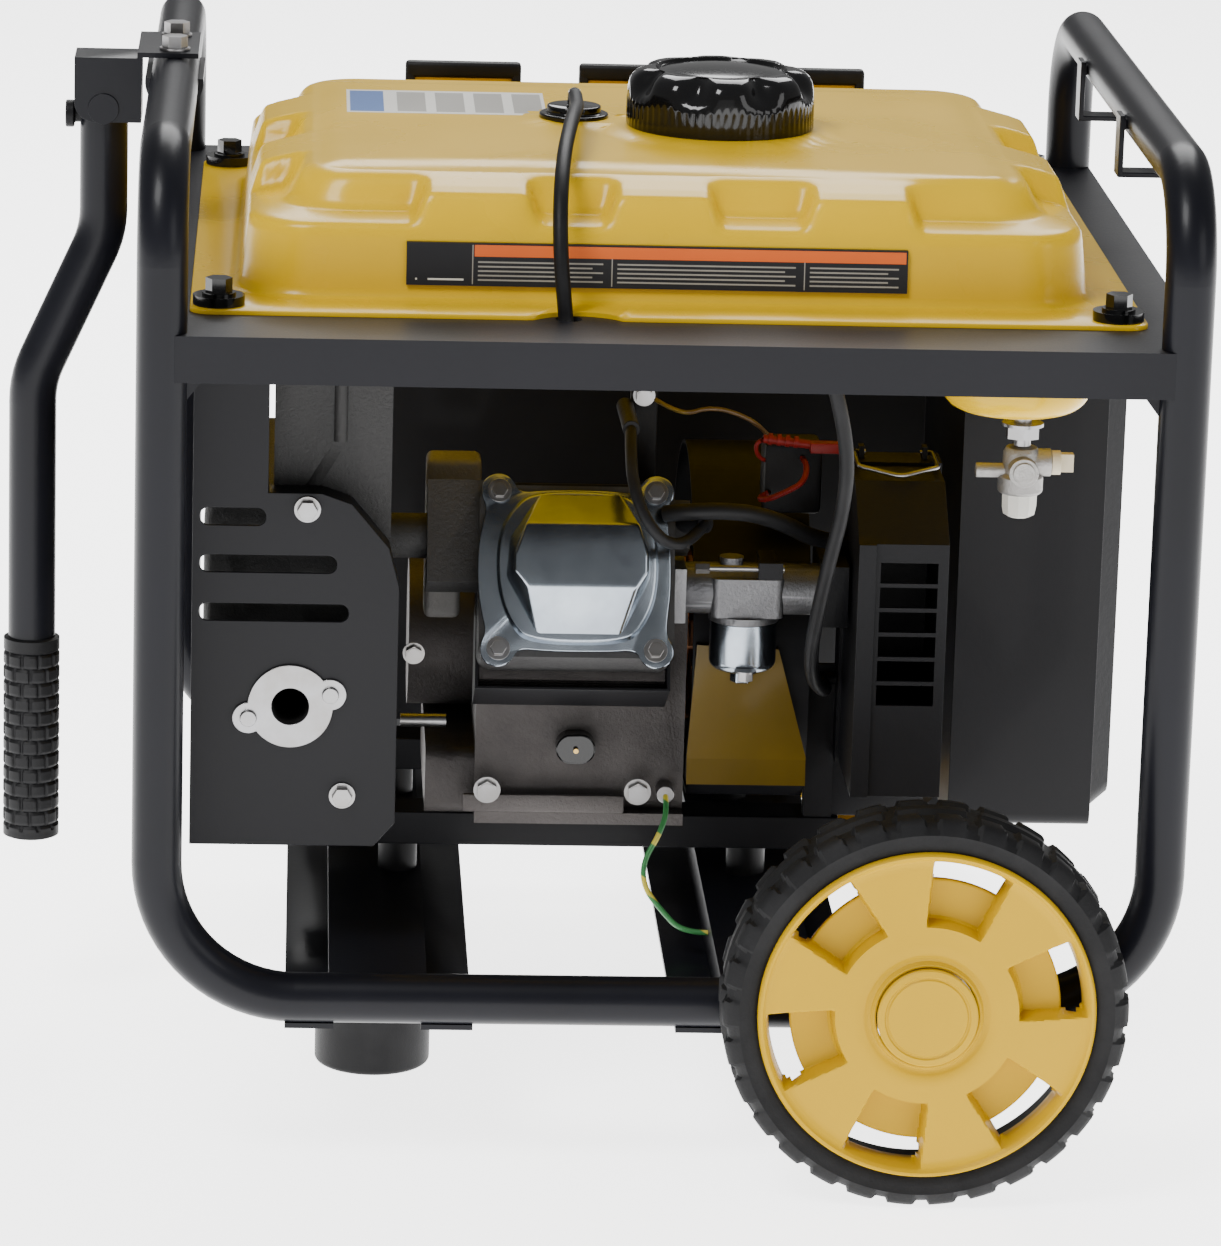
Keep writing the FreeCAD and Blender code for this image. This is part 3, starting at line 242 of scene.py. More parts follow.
looks = {
    "frame": paintFinish("framePaint", (0.0062, 0.0065, 0.0095), (0.004, 0.0042, 0.006), 0.34, 0.10, 0.03),
    "tray": paintFinish("trayPaint", (0.0065, 0.0066, 0.009), (0.0042, 0.0043, 0.006),
                        0.40, 0.16, 0.02, 0.08),
    "sheet": paintFinish("sheetPaint", (0.0075, 0.0075, 0.009), (0.005, 0.005, 0.006),
                         0.44, 0.18, 0.02, 0.08),
    "yellow": paintFinish("tankPaint", (0.68, 0.425, 0.0), (0.62, 0.385, 0.0),
                          0.28, 0.05, 0.10, specular=0.22),
    # fan shroud yellow, painted several times darker than the tank yellow: painted shade for the dim light
    # behind the carburettor
    "fanYellowShaded": paintFinish("fanPaintShaded", (0.13, 0.078, 0.0), (0.08, 0.048, 0.0),
                             0.34, 0.10, 0.1, specular=0.2),
    "rimYellow": paintFinish("rimPlastic", (0.48, 0.285, 0.0), (0.43, 0.255, 0.0),
                             0.42, 0.12, 0.0, 0.08),
    "tyre": rubberFinish("tyreRubber", (0.0055, 0.0055, 0.006), 0.62, 0.35, 600.0),
    "rubber": rubberFinish("hoseRubber", (0.006, 0.006, 0.0066), 0.48, 0.2),
    "moulded": paintFinish("mouldedBlack", (0.0075, 0.0075, 0.0085), (0.005, 0.005, 0.006),
                           0.48, 0.4, 0.0, 0.15),
    "gloss": paintFinish("glossBlack", (0.005, 0.005, 0.0056), (0.0035, 0.0035, 0.004), 0.15, 0.02, 0.5),
    "zinc": zincFinish("zincPlate", (0.30, 0.30, 0.31), (0.22, 0.21, 0.20), 0.28),
    "plated": zincFinish("platedCover", (0.33, 0.37, 0.41), (0.25, 0.28, 0.32), 0.2),
    "cast": castFinish("castAlloy", (0.075, 0.068, 0.066), (0.03, 0.027, 0.026), 0.7, 0.52),
    "castPale": castFinish("castPale", (0.13, 0.125, 0.12), (0.06, 0.058, 0.056), 0.55, 0.6),
    "castDark": castFinish("castDark", (0.035, 0.034, 0.034), (0.014, 0.014, 0.014), 0.6, 0.5),
    "carb": castFinish("carbAlloy", (0.15, 0.15, 0.155), (0.08, 0.08, 0.085), 0.85, 0.38),
    "tap": castFinish("tapAlloy", (0.30, 0.29, 0.28), (0.16, 0.155, 0.15), 0.8, 0.4),
    "steel": zincFinish("machinedSteel", (0.33, 0.33, 0.33), (0.22, 0.22, 0.23), 0.35),
    "burnt": castFinish("burntSteel", (0.008, 0.0075, 0.0072), (0.005, 0.0048, 0.0046), 0.15, 0.6),
    "copper": zincFinish("copperWinding", (0.6, 0.3, 0.16), (0.4, 0.18, 0.09), 0.35),
    "beige": paintFinish("leverPlastic", (0.62, 0.55, 0.40), (0.52, 0.46, 0.34), 0.42, 0.2),
    "bowl": paintFinish("bowlPlastic", (0.62, 0.60, 0.55), (0.5, 0.49, 0.45), 0.3, 0.1, 0.2),
    "brass": zincFinish("brassPin", (0.55, 0.38, 0.14), (0.42, 0.27, 0.09), 0.3),
    "red": paintFinish("redPlastic", (0.17, 0.010, 0.008), (0.11, 0.006, 0.005), 0.42, 0.15),
    "orange": paintFinish("orangeBand", (0.72, 0.14, 0.02), (0.62, 0.11, 0.02), 0.4, 0.05),
    "paper": paintFinish("paleLabel", (0.62, 0.61, 0.56), (0.55, 0.54, 0.5), 0.4, 0.05),
    "inkGrey": paintFinish("greyPanel", (0.30, 0.29, 0.26), (0.24, 0.23, 0.21), 0.45, 0.05),
    "inkBlue": paintFinish("bluePanel", (0.05, 0.13, 0.34), (0.04, 0.1, 0.28), 0.4, 0.05),
    "stripe": paintFinish("darkStrip", (0.018, 0.018, 0.02), (0.012, 0.012, 0.014), 0.35, 0.05),
    "greenWire": stripedFinish("greenWire", (0.03, 0.19, 0.05), (0.6, 0.5, 0.05)),
    "brownWire": stripedFinish("brownWire", (0.07, 0.035, 0.006), (0.13, 0.085, 0.01)),
}
print("materials made", len(looks))


# making and finishing pieces
def finishPiece(bm, name, body, look, smooth=32.0, replaces=(), bevel=0.0, scale=True):
    bmesh.ops.remove_doubles(bm, verts=bm.verts, dist=0.0005 if scale else 0.0000005)
    bmesh.ops.recalc_face_normals(bm, faces=bm.faces)
    if scale:
        bmesh.ops.translate(bm, verts=bm.verts, vec=(shiftX, 0, 0))
        bmesh.ops.scale(bm, verts=bm.verts, vec=(mm, mm, mm))
    mesh = bpy.data.meshes.new(name)
    bm.to_mesh(mesh)
    bm.free()
    return linkMesh(mesh, name, body, look, smooth, replaces, bevel)


def linkMesh(mesh, name, body, look, smooth, replaces, bevel):
    mesh.materials.clear()
    mesh.materials.append(looks[look])
    piece = bpy.data.objects.new(name, mesh)
    bpy.context.scene.collection.objects.link(piece)
    mesh.shade_smooth()
    mesh.set_sharp_from_angle(angle=math.radians(smooth))
    if bevel:
        rounding = piece.modifiers.new("rounding", "BEVEL")
        rounding.width = bevel * mm
        rounding.segments = 2
        rounding.limit_method = "ANGLE"
        rounding.angle_limit = math.radians(38)
        rounding.harden_normals = True
    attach(piece, body)
    if replaces:
        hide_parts(*replaces)
    return piece


def bodyOf(node):
    return frame["nodes"][node]["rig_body"]


def roundedCopy(node, look, bevel=0.8, smooth=34.0):
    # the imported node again, merged and with its sharp edges broken
    bm = bmesh.new()
    bm.from_mesh(frame["nodes"][node].data)
    bmesh.ops.remove_doubles(bm, verts=bm.verts, dist=0.00001)
    bmesh.ops.dissolve_limit(bm, angle_limit=math.radians(0.6), verts=bm.verts, edges=bm.edges)
    mesh = bpy.data.meshes.new(node + "Shown")
    bm.to_mesh(mesh)
    bm.free()
    return linkMesh(mesh, node + "Shown", bodyOf(node), look, smooth, (node,), bevel)


def dress(node, look):
    mesh = frame["nodes"][node].data
    mesh.materials.clear()
    mesh.materials.append(looks[look])


def addRod(bm, radius, start, end, sides=32, endRadius=None):
    start, end = Vector(start), Vector(end)
    along = end - start
    turn = Vector((0, 0, 1)).rotation_difference(along).to_matrix().to_4x4()
    spot = Matrix.Translation((start + end) / 2) @ turn
    made = bmesh.ops.create_cone(bm, cap_ends=True, segments=sides, radius1=radius,
                                 radius2=radius if endRadius is None else endRadius,
                                 depth=along.length, matrix=spot)
    return made["verts"]


def addBlock(bm, x0, x1, y0, y1, z0, z1, bevel=0.0, segments=2):
    size = Matrix.Diagonal((x1 - x0, y1 - y0, z1 - z0, 1))
    spot = Matrix.Translation(((x0 + x1) / 2, (y0 + y1) / 2, (z0 + z1) / 2))
    made = bmesh.ops.create_cube(bm, size=1.0, matrix=spot @ size)
    if bevel:
        edges = {edge for vert in made["verts"] for edge in vert.link_edges}
        bmesh.ops.bevel(bm, geom=list(edges), offset=bevel, segments=segments, affect="EDGES",
                        profile=0.5, material=-1)
    return made["verts"]


def ringEdges(bm, *rings):
    # the edges round each closed ring of points, made where they are missing
    found = []
    for ring in rings:
        for a, b in zip(ring, ring[1:] + ring[:1]):
            found.append(bm.edges.get((a, b)) or bm.edges.new((a, b)))
    return found


def addTurned(bm, profile, centre, axis, sides=64):
    # a profile of (radius, height) pairs spun about an axis through centre
    axis = Vector(axis).normalized()
    across = axis.orthogonal().normalized()
    verts = [bm.verts.new(Vector(centre) + across * r + axis * h) for r, h in profile]
    edges = [bm.edges.new(pair) for pair in zip(verts, verts[1:])]
    made = bmesh.ops.spin(bm, geom=verts + edges, cent=centre, axis=axis, angle=math.tau, steps=sides,
                          use_merge=True)
    return made


# hoses, leads and wires, each one spline
cords = {
    "vent_hose": {"d": 8.5, "look": "rubber", "stiff": "medium", "length": 0.2936, "points": [
        (-46.5, 2.0, 563.0), (-46.5, -34.0, 563.0), (-50.5, -80.0, 567.0), (-55.0, -125.0, 565.0),
        (-59.5, -168.0, 558.5), (-62.3, -203.0, 541.0), (-62.2, -219.0, 514.0),
        (-60.0, -225.0, 490.0), (-57.0, -227.5, 462.0)]},
    "air_hose": {"d": 8.5, "look": "rubber", "stiff": "medium", "length": 0.297, "points": [
        (90.0, -215.0, 474.0), (90.0, -215.0, 450.0), (98.0, -213.0, 423.0),
        (104.0, -203.0, 391.0), (102.5, -193.0, 360.0), (97.5, -182.0, 331.0),
        (93.0, -172.0, 300.0), (90.5, -158.0, 270.0), (94.0, -138.0, 247.0),
        (104.5, -116.0, 234.0), (104.5, -92.0, 232.0)]},
    "ground_wire": {"d": 3.2, "look": "greenWire", "stiff": "limp", "length": 0.1144, "points": [
        (13.0, -98.0, 166.0), (14.0, -110.0, 160.0), (9.0, -124.0, 149.0), (-1.0, -132.0, 134.0),
        (0.0, -138.0, 120.0), (10.0, -146.0, 109.0), (22.0, -153.0, 98.0), (37.0, -153.0, 98.0)]},
    "breather_hose": {"d": 10.0, "look": "rubber", "stiff": "medium", "length": 0.1246, "points": [
        (5.0, -147.0, 347.3), (16.0, -153.0, 350.0), (36.0, -153.0, 351.0), (58.0, -147.0, 348.0),
        (78.0, -134.0, 338.0), (92.0, -117.0, 327.0), (107.0, -106.0, 322.0)]},
    "plug_lead": {"d": 7.0, "look": "rubber", "stiff": "medium", "length": 0.1202, "points": [
        (-15.0, -128.0, 393.0), (-16.0, -146.0, 386.0), (-15.0, -164.0, 368.0), (-8.0, -174.0, 350.0),
        (4.0, -174.0, 336.0), (18.0, -164.0, 334.0), (28.0, -148.0, 342.0)]},
}


def runCord(node, c):
    curve = bpy.data.curves.new(node + "Run", "CURVE")
    curve.dimensions = "3D"
    spline = curve.splines.new("NURBS")
    spline.points.add(len(c["points"]) - 1)
    for spot, point in zip(spline.points, c["points"]):
        spot.co = (*place(*point), 1.0)
    spline.order_u = 3
    spline.use_endpoint_u = True
    spline.resolution_u = 12
    curve.resolution_u = 12
    curve.bevel_depth = c["d"] / 2 * mm
    curve.bevel_resolution = 6
    curve.use_fill_caps = True
    curve.materials.append(looks[c["look"]])
    run = bpy.data.objects.new(node + "Run", curve)
    bpy.context.scene.collection.objects.link(run)
    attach(run, "generator")
    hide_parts(node)
    tuple(place(*c["points"][0]))
    c["d"] * mm


for cordNode, cordFacts in cords.items():
    runCord(cordNode, cordFacts)
print("cords run")


# a flat grid rolled round a centre, then shaped by a rule
def wrapGrid(bm, around, along, rule):
    made = bmesh.ops.create_grid(bm, x_segments=around, y_segments=along, size=0.5)
    for vert in made["verts"]:
        vert.co = Vector(rule(vert.co.x + 0.5, vert.co.y + 0.5))
    return made["verts"]


def ease(value, low, high):
    t = min(1.0, max(0.0, (value - low) / (high - low)))
    return t * t * (3 - 2 * t)


def follow(profile, value):
    # straight-line reading between the (key, value) pairs of a profile
    for (a, fa), (b, fb) in zip(profile, profile[1:]):
        if value <= b:
            return fa + (fb - fa) * max(0.0, (value - a) / (b - a))
    return profile[-1][1]


# fuel tank
tank = {
    "half": (240.0, 193.0), "crown": 545.0,
    "flangeHalf": (267.0, 233.0), "flangeCorner": 12.0, "flangeZ": (477.0, 479.5),
    "notch": (-51.5, -250.0, 30.0),
    "lowShelf": [(4, 518), (6, 520.6), (10, 522), (23, 525), (27, 528.5), (33, 540), (36, 543.2), (40, 545)],
    "highBlock": [(4, 518), (6, 524), (9.5, 534.5), (12, 537.8), (20, 540.5), (32, 543.4), (40, 545)],
    "frontBlocks": [(-139.6, -76.0), (-32.0, 26.0), (79.0, 138.0)],
    "sideBlocks": [(-95.0, -30.0), (35.0, 100.0)],
    "blend": 4.5, "straight": (132, 104), "cornerSteps": 14,
}


def tankOutline(t, halfX, halfY, radius):
    front, side = tank["straight"]
    steps = tank["cornerSteps"]
    total = 2 * (front + side + 2 * steps)
    t = (t * total) % total
    lengths = [front, steps, side, steps, front, steps, side, steps]
    leg = 0
    while t >= lengths[leg]:
        t -= lengths[leg]
        leg += 1
    part = t / lengths[leg]
    quarter = leg // 2
    straightX, straightY = halfX - radius, halfY - radius
    if leg % 2 == 0:
        reach = straightX if quarter % 2 == 0 else straightY
        out = halfY if quarter % 2 == 0 else halfX
        spot = Vector((-reach + 2 * reach * part, -out))
    else:
        reach = straightX if quarter % 2 == 0 else straightY
        out = (halfY if quarter % 2 == 0 else halfX) - radius
        angle = -math.pi / 2 + part * math.pi / 2
        spot = Vector((reach + radius * math.cos(angle), -out + radius * math.sin(angle)))
    return Matrix.Rotation(math.pi / 2 * quarter, 2) @ spot


def raisedAmount(x, y):
    halfX, halfY = tank["half"]
    nearFront = halfY - abs(y) < halfX - abs(x)
    blocks, value = (tank["frontBlocks"], x) if nearFront else (tank["sideBlocks"], y)
    blend = tank["blend"]
    amount = 0.0
    for low, high in blocks:
        rise = ease(value, low - blend, low + blend)
        fall = 1 - ease(value, high - blend, high + blend)
        amount = max(amount, rise * fall)
    return amount


def crownHeight(x, y):
    ridge = -128.0 - 0.10 * abs(x + 80.0)
    inside = ease(y, ridge - 6, ridge + 4) * (1 - ease(abs(x), 186, 196)) * (1 - ease(y, 128, 138))
    capAway = math.hypot(x - 38.0, y + 14.0)
    ventAway = math.hypot(x + 46.5, y - 12.0)
    return 2.4 * inside + 2.8 * (1 - ease(capAway, 62, 70)) + 1.2 * (1 - ease(ventAway, 25, 31))


def tankRings():
    flangeX, flangeY = tank["flangeHalf"]
    low, high = tank["flangeZ"]
    corner = tank["flangeCorner"]
    rings = [(flangeX, flangeY, corner, low, 0), (flangeX, flangeY, corner, high - 0.7, 0),
             (flangeX - 0.7, flangeY - 0.7, corner, high, 0)]
    for inset, corner, z in ((-7.0, 46, high), (-3.0, 43, high + 0.4), (-1.0, 41, high + 2.0),
                             (0.2, 40, high + 6), (1.2, 40, 495), (2.4, 40, 506), (3.2, 40, 513)):
        rings.append((tank["half"][0] - inset, tank["half"][1] - inset, corner, z, 0))
    for i in range(31):
        inset = 4.0 + 1.25 * i
        rings.append((tank["half"][0] - inset, tank["half"][1] - inset, 40.0 - 0.3 * inset, inset, 1))
    for i in range(22):
        inset = 46.0 + 6.2 * i
        corner = max(8.0, 26.0 - 0.15 * inset)
        rings.append((tank["half"][0] - inset, tank["half"][1] - inset, corner, 40.0, 1))
    return rings


def makeTank():
    rings = tankRings()
    notchX, notchY, notchR = tank["notch"]

    def rule(u, v):
        halfX, halfY, corner, level, shaped = rings[round(v * (len(rings) - 1))]
        spot = tankOutline(u, halfX, halfY, corner)
        if shaped:
            amount = raisedAmount(spot.x, spot.y)
            z = follow(tank["lowShelf"], level) * (1 - amount) + follow(tank["highBlock"], level) * amount
            z += crownHeight(spot.x, spot.y) * ease(level, 30, 40)
        else:
            z = level
            away = abs(spot.x - notchX)
            if z < 480 and away < notchR and spot.y < -225:
                spot.y = max(spot.y, notchY + math.sqrt(notchR ** 2 - away ** 2))
        return spot.x, spot.y, z

    bm = bmesh.new()
    front, side = tank["straight"]
    around = 2 * (front + side + 2 * tank["cornerSteps"])
    wrapGrid(bm, around, len(rings) - 1, rule)
    bmesh.ops.remove_doubles(bm, verts=bm.verts, dist=0.01)
    soft = [vert for vert in bm.verts if vert.co.z > 516]
    bmesh.ops.smooth_vert(bm, verts=soft, factor=0.5, use_axis_x=False, use_axis_y=False, use_axis_z=True)
    bmesh.ops.holes_fill(bm, edges=[edge for edge in bm.edges if edge.is_boundary], sides=0)
    finishPiece(bm, "tankPressing", "generator", "yellow", 60, ("tank_upper",))


makeTank()
print("tank made")

# raised tabs behind the tank with their rubber edging
tabs = {"spans": [(-138.5, -74.5), (-30.4, 139.9)], "y": (222.0, 226.0), "z": (479.5, 541.0)}


def makeTabs():
    bm = bmesh.new()
    trim = bmesh.new()
    y0, y1 = tabs["y"]
    z0, z1 = tabs["z"]
    for x0, x1 in tabs["spans"]:
        addBlock(bm, x0, x1, y0, y1, z0, z1, 1.2)
        addBlock(trim, x0 - 4, x1 + 4, y0 - 3, y1 + 3, z1 - 6, z1 + 4, 2.4, 3)
        for x in (x0 - 1, x1 + 1):
            addBlock(trim, x - 3, x + 3, y0 - 3, y1 + 3, z1 - 16, z1 - 2, 2.0, 3)
    finishPiece(bm, "rearTabs", "generator", "yellow")
    finishPiece(trim, "tabEdging", "generator", "rubber")


makeTabs()

# fuel cap
cap = {"centre": (38.0, -14.0), "ribs": 72, "lobes": 8, "turn": 0.35,
       "profile": [(48.0, 548.4), (53.5, 548.4), (54.6, 549.6), (55.0, 551.0), (55.0, 558.0), (55.0, 565.0),
                   (54.8, 567.5), (54.6, 570.0), (54.4, 573.0), (53.6, 576.5), (52.0, 579.5), (49.0, 582.2),
                   (45.0, 583.8), (41.0, 584.2), (38.5, 583.9), (37.6, 582.2), (36.6, 582.0), (30.0, 583.3),
                   (20.0, 584.6), (10.0, 585.3), (0.4, 585.5)]}


def makeCap():
    cx, cy = cap["centre"]
    rings = cap["profile"]

    def rule(u, v):
        k = round(v * (len(rings) - 1))
        radius, z = rings[k]
        angle = u * math.tau
        scoop = (0.5 + 0.5 * math.cos(cap["lobes"] * (angle + cap["turn"]))) ** 2.2
        if 4 <= k <= 5:
            radius -= 0.55 * (0.5 + 0.5 * math.cos(cap["ribs"] * angle))
        if z > 566 and radius > 38:
            radius -= 8.0 * scoop * ease(z, 566, 577) * ease(radius, 38, 47)
        return cx + radius * math.cos(angle), cy + radius * math.sin(angle), z

    bm = bmesh.new()
    wrapGrid(bm, 432, len(rings) - 1, rule)
    bmesh.ops.remove_doubles(bm, verts=bm.verts, dist=0.01)
    bmesh.ops.holes_fill(bm, edges=[edge for edge in bm.edges if edge.is_boundary], sides=0)
    finishPiece(bm, "fuelCapShown", "cap", "gloss", 50, ("fuel_cap",))


makeCap()

# plain labels without lettering
strip = {"x": (-147.0, 134.0), "z": (488.0, 512.0), "y": -193.6, "splits": [-110.0, -32.0, 76.0]}


def makeDecals():
    x0, x1 = strip["x"]
    z0, z1 = strip["z"]
    y = strip["y"]
    dark, band, pale, grey, blue = (bmesh.new() for _ in range(5))
    for vertZ0, vertZ1, bm, lift in ((z0, z1, dark, 0.0), (z1 - 7.5, z1 - 1.0, band, -0.12)):
        left = x0 if bm is dark else strip["splits"][0] + 1.0
        right = x1 if bm is dark else x1 - 1.0
        addBlock(bm, left, right, y - 0.2 + lift, y + 2.4, vertZ0, vertZ1)
    for x in (x0 + 5.5, x0 + 9.5):
        wide = x > x0 + 7
        addBlock(pale, x - 0.5 + wide * 3, x + 0.5 + wide * 22, y - 0.35, y + 2, z0 + 3, z0 + 4)
    for left, right in zip(strip["splits"], strip["splits"][1:] + [x1]):
        for i in range(5):
            z = z0 + 3.0 + 2.5 * i
            addBlock(grey, left + 3, right - 5 - 6 * (i % 2), y - 0.3, y + 2, z, z + 0.9)
        addBlock(grey, left - 0.3, left + 0.3, y - 0.3, y + 2, z0 + 1, z1 - 1)
    for bm in (dark, band, pale, grey):
        for vert in bm.verts:
            vert.co.y += (vert.co.z - 500.0) * 0.085
    top = tank["crown"] + 2.55
    addBlock(pale, -180, -62, 20, 98, top - 0.6, top)
    for i in range(4):
        x = -150 + 23 * i
        addBlock(grey, x, x + 17, 26, 92, top - 0.5, top + 0.06)
    addBlock(blue, -178, -158, 24, 94, top - 0.5, top + 0.08)
    finishPiece(dark, "frontStrip", "generator", "stripe")
    finishPiece(band, "frontBand", "generator", "orange")
    finishPiece(pale, "topLabel", "generator", "paper")
    finishPiece(grey, "labelPanels", "generator", "inkGrey")
    finishPiece(blue, "labelBlock", "generator", "inkBlue")


makeDecals()
print("cap, tabs and plain labels made")

# wheels
wheel = {"centre": (146.0, 113.2), "radius": 113.2, "rim": 94.0, "y": (300.0, 352.0), "blocks": 30,
         "groove": 2.8, "spokes": 6, "turn": math.radians(15.0), "pocket": (51.0, 89.0, 15.0, 22.0, 13.0),
         "hole": (75.0, 87.5, math.radians(14.0))}


def wheelSpot(side, radius, angle, y):
    x, z = wheel["centre"]
    return x + radius * math.cos(angle), side * y, z + radius * math.sin(angle)


def makeTyre(side, prefix):
    y0, y1 = wheel["y"]
    y1 -= 2.0
    big, small = wheel["radius"], wheel["rim"]
    section = [(small, y0 + 3), (small + 6, y0 + 0.8), (big - 9, y0), (big - 3.6, y0 + 2.6),
               (big - 0.9, y0 + 6), (big - 0.2, y0 + 9), (big, y0 + 12), (big, y0 + 17), (big, y0 + 21),
               (big, y0 + 24),
               (big, y0 + 27), (big, y0 + 31), (big, y0 + 36), (big - 0.2, y1 - 9), (big - 0.9, y1 - 6),
               (big - 3.6, y1 - 2.6), (big - 9, y1), (big - 11.5, y1 - 0.6), (small + 6, y1 - 0.8),
               (small + 2, y1 - 1.6), (small, y1 - 3), (small - 0.6, (y0 + y1) / 2), (small, y0 + 3)]

    def rule(u, v):
        k = round(v * (len(section) - 1))
        radius, y = section[k]
        angle = u * math.tau
        across = (y - (y0 + y1) / 2) / 25.0
        if radius > big - 7.5:
            shift = 0.5 if across > 0 else 0.0
            wave = math.sin(wheel["blocks"] * angle + shift * math.tau + across * 1.6)
            gap = ease(wave, 0.35, 0.6)
            if abs(across) < 0.2:
                gap = ease(math.sin(wheel["blocks"] * angle * 0.5), 0.8, 0.95)
            elif abs(across) < 0.34:
                gap = 1.0
            radius -= wheel["groove"] * gap * (0.8 if radius < big - 8 else 1.0)
            if radius < big - 8:
                y -= 1.4 * gap if y > y0 + 20 else -1.4 * gap
        return wheelSpot(side, radius, angle, y)

    bm = bmesh.new()
    wrapGrid(bm, 480, len(section) - 1, rule)
    bmesh.ops.remove_doubles(bm, verts=bm.verts, dist=0.01)
    finishPiece(bm, prefix + "TyreShown", prefix + "_wheel", "tyre", 28, (prefix + "_tyre",))


def makeRim(side, prefix):
    y1 = wheel["y"][1]
    radii = [28.6, 30.0, 31.5, 33.0, 34.5, 36, 42, 48, 50, 51, 52, 53, 54.5, 57, 61, 65, 70, 74, 75.5, 78, 81,
             84, 86, 87.2, 88.2, 89.2, 90.2, 91.2, 92.4, 93.4, 94.0, 94.0]
    inner, outer, halfIn, halfOut, depth = wheel["pocket"]
    outward = [(28, 1.8), (30, 2.0), (31.5, 4.4), (33.5, 4.4), (35.5, 3.0), (48, 3.2), (86, 3.6), (89.5, 2.6),
               (91.2, 0.8), (92.5, 0.6), (93.6, 1.8), (94.1, 4)]
    sector = math.tau / wheel["spokes"]

    def offCentre(angle):
        return abs((angle - wheel["turn"] + sector / 2) % sector - sector / 2)

    def rule(u, v):
        k = round(v * (len(radii) - 1))
        radius = radii[k]
        angle = u * math.tau
        half = halfIn + (halfOut - halfIn) * (radius - inner) / (outer - inner)
        sides = 1 - ease(offCentre(angle) * radius, half - 1.2, half + 1.2)
        ends = ease(radius, inner, inner + 2.5) * (1 - ease(radius, outer - 2.0, outer + 0.5))
        face = y1 - follow(outward, radius) - depth * sides * ends
        if k == len(radii) - 1:
            face = y1 - 30
        return wheelSpot(side, radius, angle, face)

    bm = bmesh.new()
    wrapGrid(bm, 540, len(radii) - 1, rule)
    bmesh.ops.remove_doubles(bm, verts=bm.verts, dist=0.01)
    gone = []
    cx, cz = wheel["centre"]
    low, high, halfHole = wheel["hole"]
    for face in bm.faces:
        middle = face.calc_center_median()
        radius = math.hypot(middle.x - cx, middle.z - cz)
        angle = math.atan2(middle.z - cz, middle.x - cx)
        corner = ease(abs(radius - (low + high) / 2), 3.5, 6.5) * math.radians(2.5)
        if low < radius < high and offCentre(angle) < halfHole - corner and abs(middle.y) > y1 - 24:
            gone.append(face)
    bmesh.ops.delete(bm, geom=gone, context="FACES")
    body = prefix + "_wheel"
    rim = finishPiece(bm, prefix + "RimShown", body, "rimYellow", 30, (prefix + "_rim",))
    wall = rim.modifiers.new("wall", "SOLIDIFY")
    wall.thickness = 3.2 * mm
    wall.offset = -1.0
    back = bmesh.new()
    y0 = wheel["y"][0]
    addTurned(back, [(6.2, y0 + 1), (14, y0 + 1), (16, y0 + 6), (18, y1 - 9), (27.6, y1 - 8),
                     (27.6, y1 - 4), (6.2, y1 - 4), (6.2, y0 + 1)], (cx, 0, cz), (0, side, 0), 72)
    finishPiece(back, prefix + "HubShown", body, "rimYellow", 30)
    disc = bmesh.new()
    addTurned(disc, [(0.0, y1 - 2.6), (27.2, y1 - 2.6), (28.0, y1 - 1.4), (28.0, y1 + 0.9),
                     (27.2, y1 + 1.6), (24.2, y1 + 1.9), (23.4, y1 + 1.1), (22.6, y1 + 1.1),
                     (21.8, y1 + 1.9), (0.0, y1 + 1.95)],
              (cx, 0, cz), (0, side, 0), 96)
    finishPiece(disc, prefix + "CapShown", body, "rimYellow", 30, (prefix + "_hub_cap",))


for wheelSide, wheelName in ((-1, "front"), (1, "rear")):
    makeTyre(wheelSide, wheelName)
    makeRim(wheelSide, wheelName)
print("wheels made")

# handle grip
grip = {"x": -363.0, "z": (107.0, 231.0), "radius": 16.8, "pads": 10, "rows": 14}


def makeGrip():
    z0, z1 = grip["z"]

    def rule(u, v):
        angle = u * math.tau
        z = z0 + (z1 - z0) * v
        row = v * grip["rows"]
        across = (u * grip["pads"] + 0.5 * (int(row) % 2)) % 1.0
        pad = ease(row % 1.0, 0.02, 0.14) * (1 - ease(row % 1.0, 0.84, 0.97)) * ease(across, 0.02, 0.14)
        pad *= 1 - ease(across, 0.84, 0.97)
        if v > 0.93 or v < 0.05:
            pad = 0.9
        radius = grip["radius"] - 1.3 + 1.3 * pad
        if v in (0.0, 1.0):
            radius = grip["radius"] - 2.2
        return grip["x"] + radius * math.cos(angle), radius * math.sin(angle), z

    bm = bmesh.new()
    wrapGrid(bm, 160, 140, rule)
    bmesh.ops.remove_doubles(bm, verts=bm.verts, dist=0.01)
    bmesh.ops.holes_fill(bm, edges=[edge for edge in bm.edges if edge.is_boundary], sides=0)
    finishPiece(bm, "gripSleeve", "handle", "rubber", 30, ("handle_grip",))


makeGrip()

# valve cover, drawn on the axes of the slanted cylinder
cylinder = {"x": -45.0, "crank": (22.7, 231.4), "tilt": math.radians(25.0)}


def cylinderFrame():
    c, s = math.cos(cylinder["tilt"]), math.sin(cylinder["tilt"])
    y, z = cylinder["crank"]
    turn = Matrix(((1, 0, 0), (0, s, -c), (0, c, s))).to_4x4()
    return Matrix.Translation((cylinder["x"], y, z)) @ turn


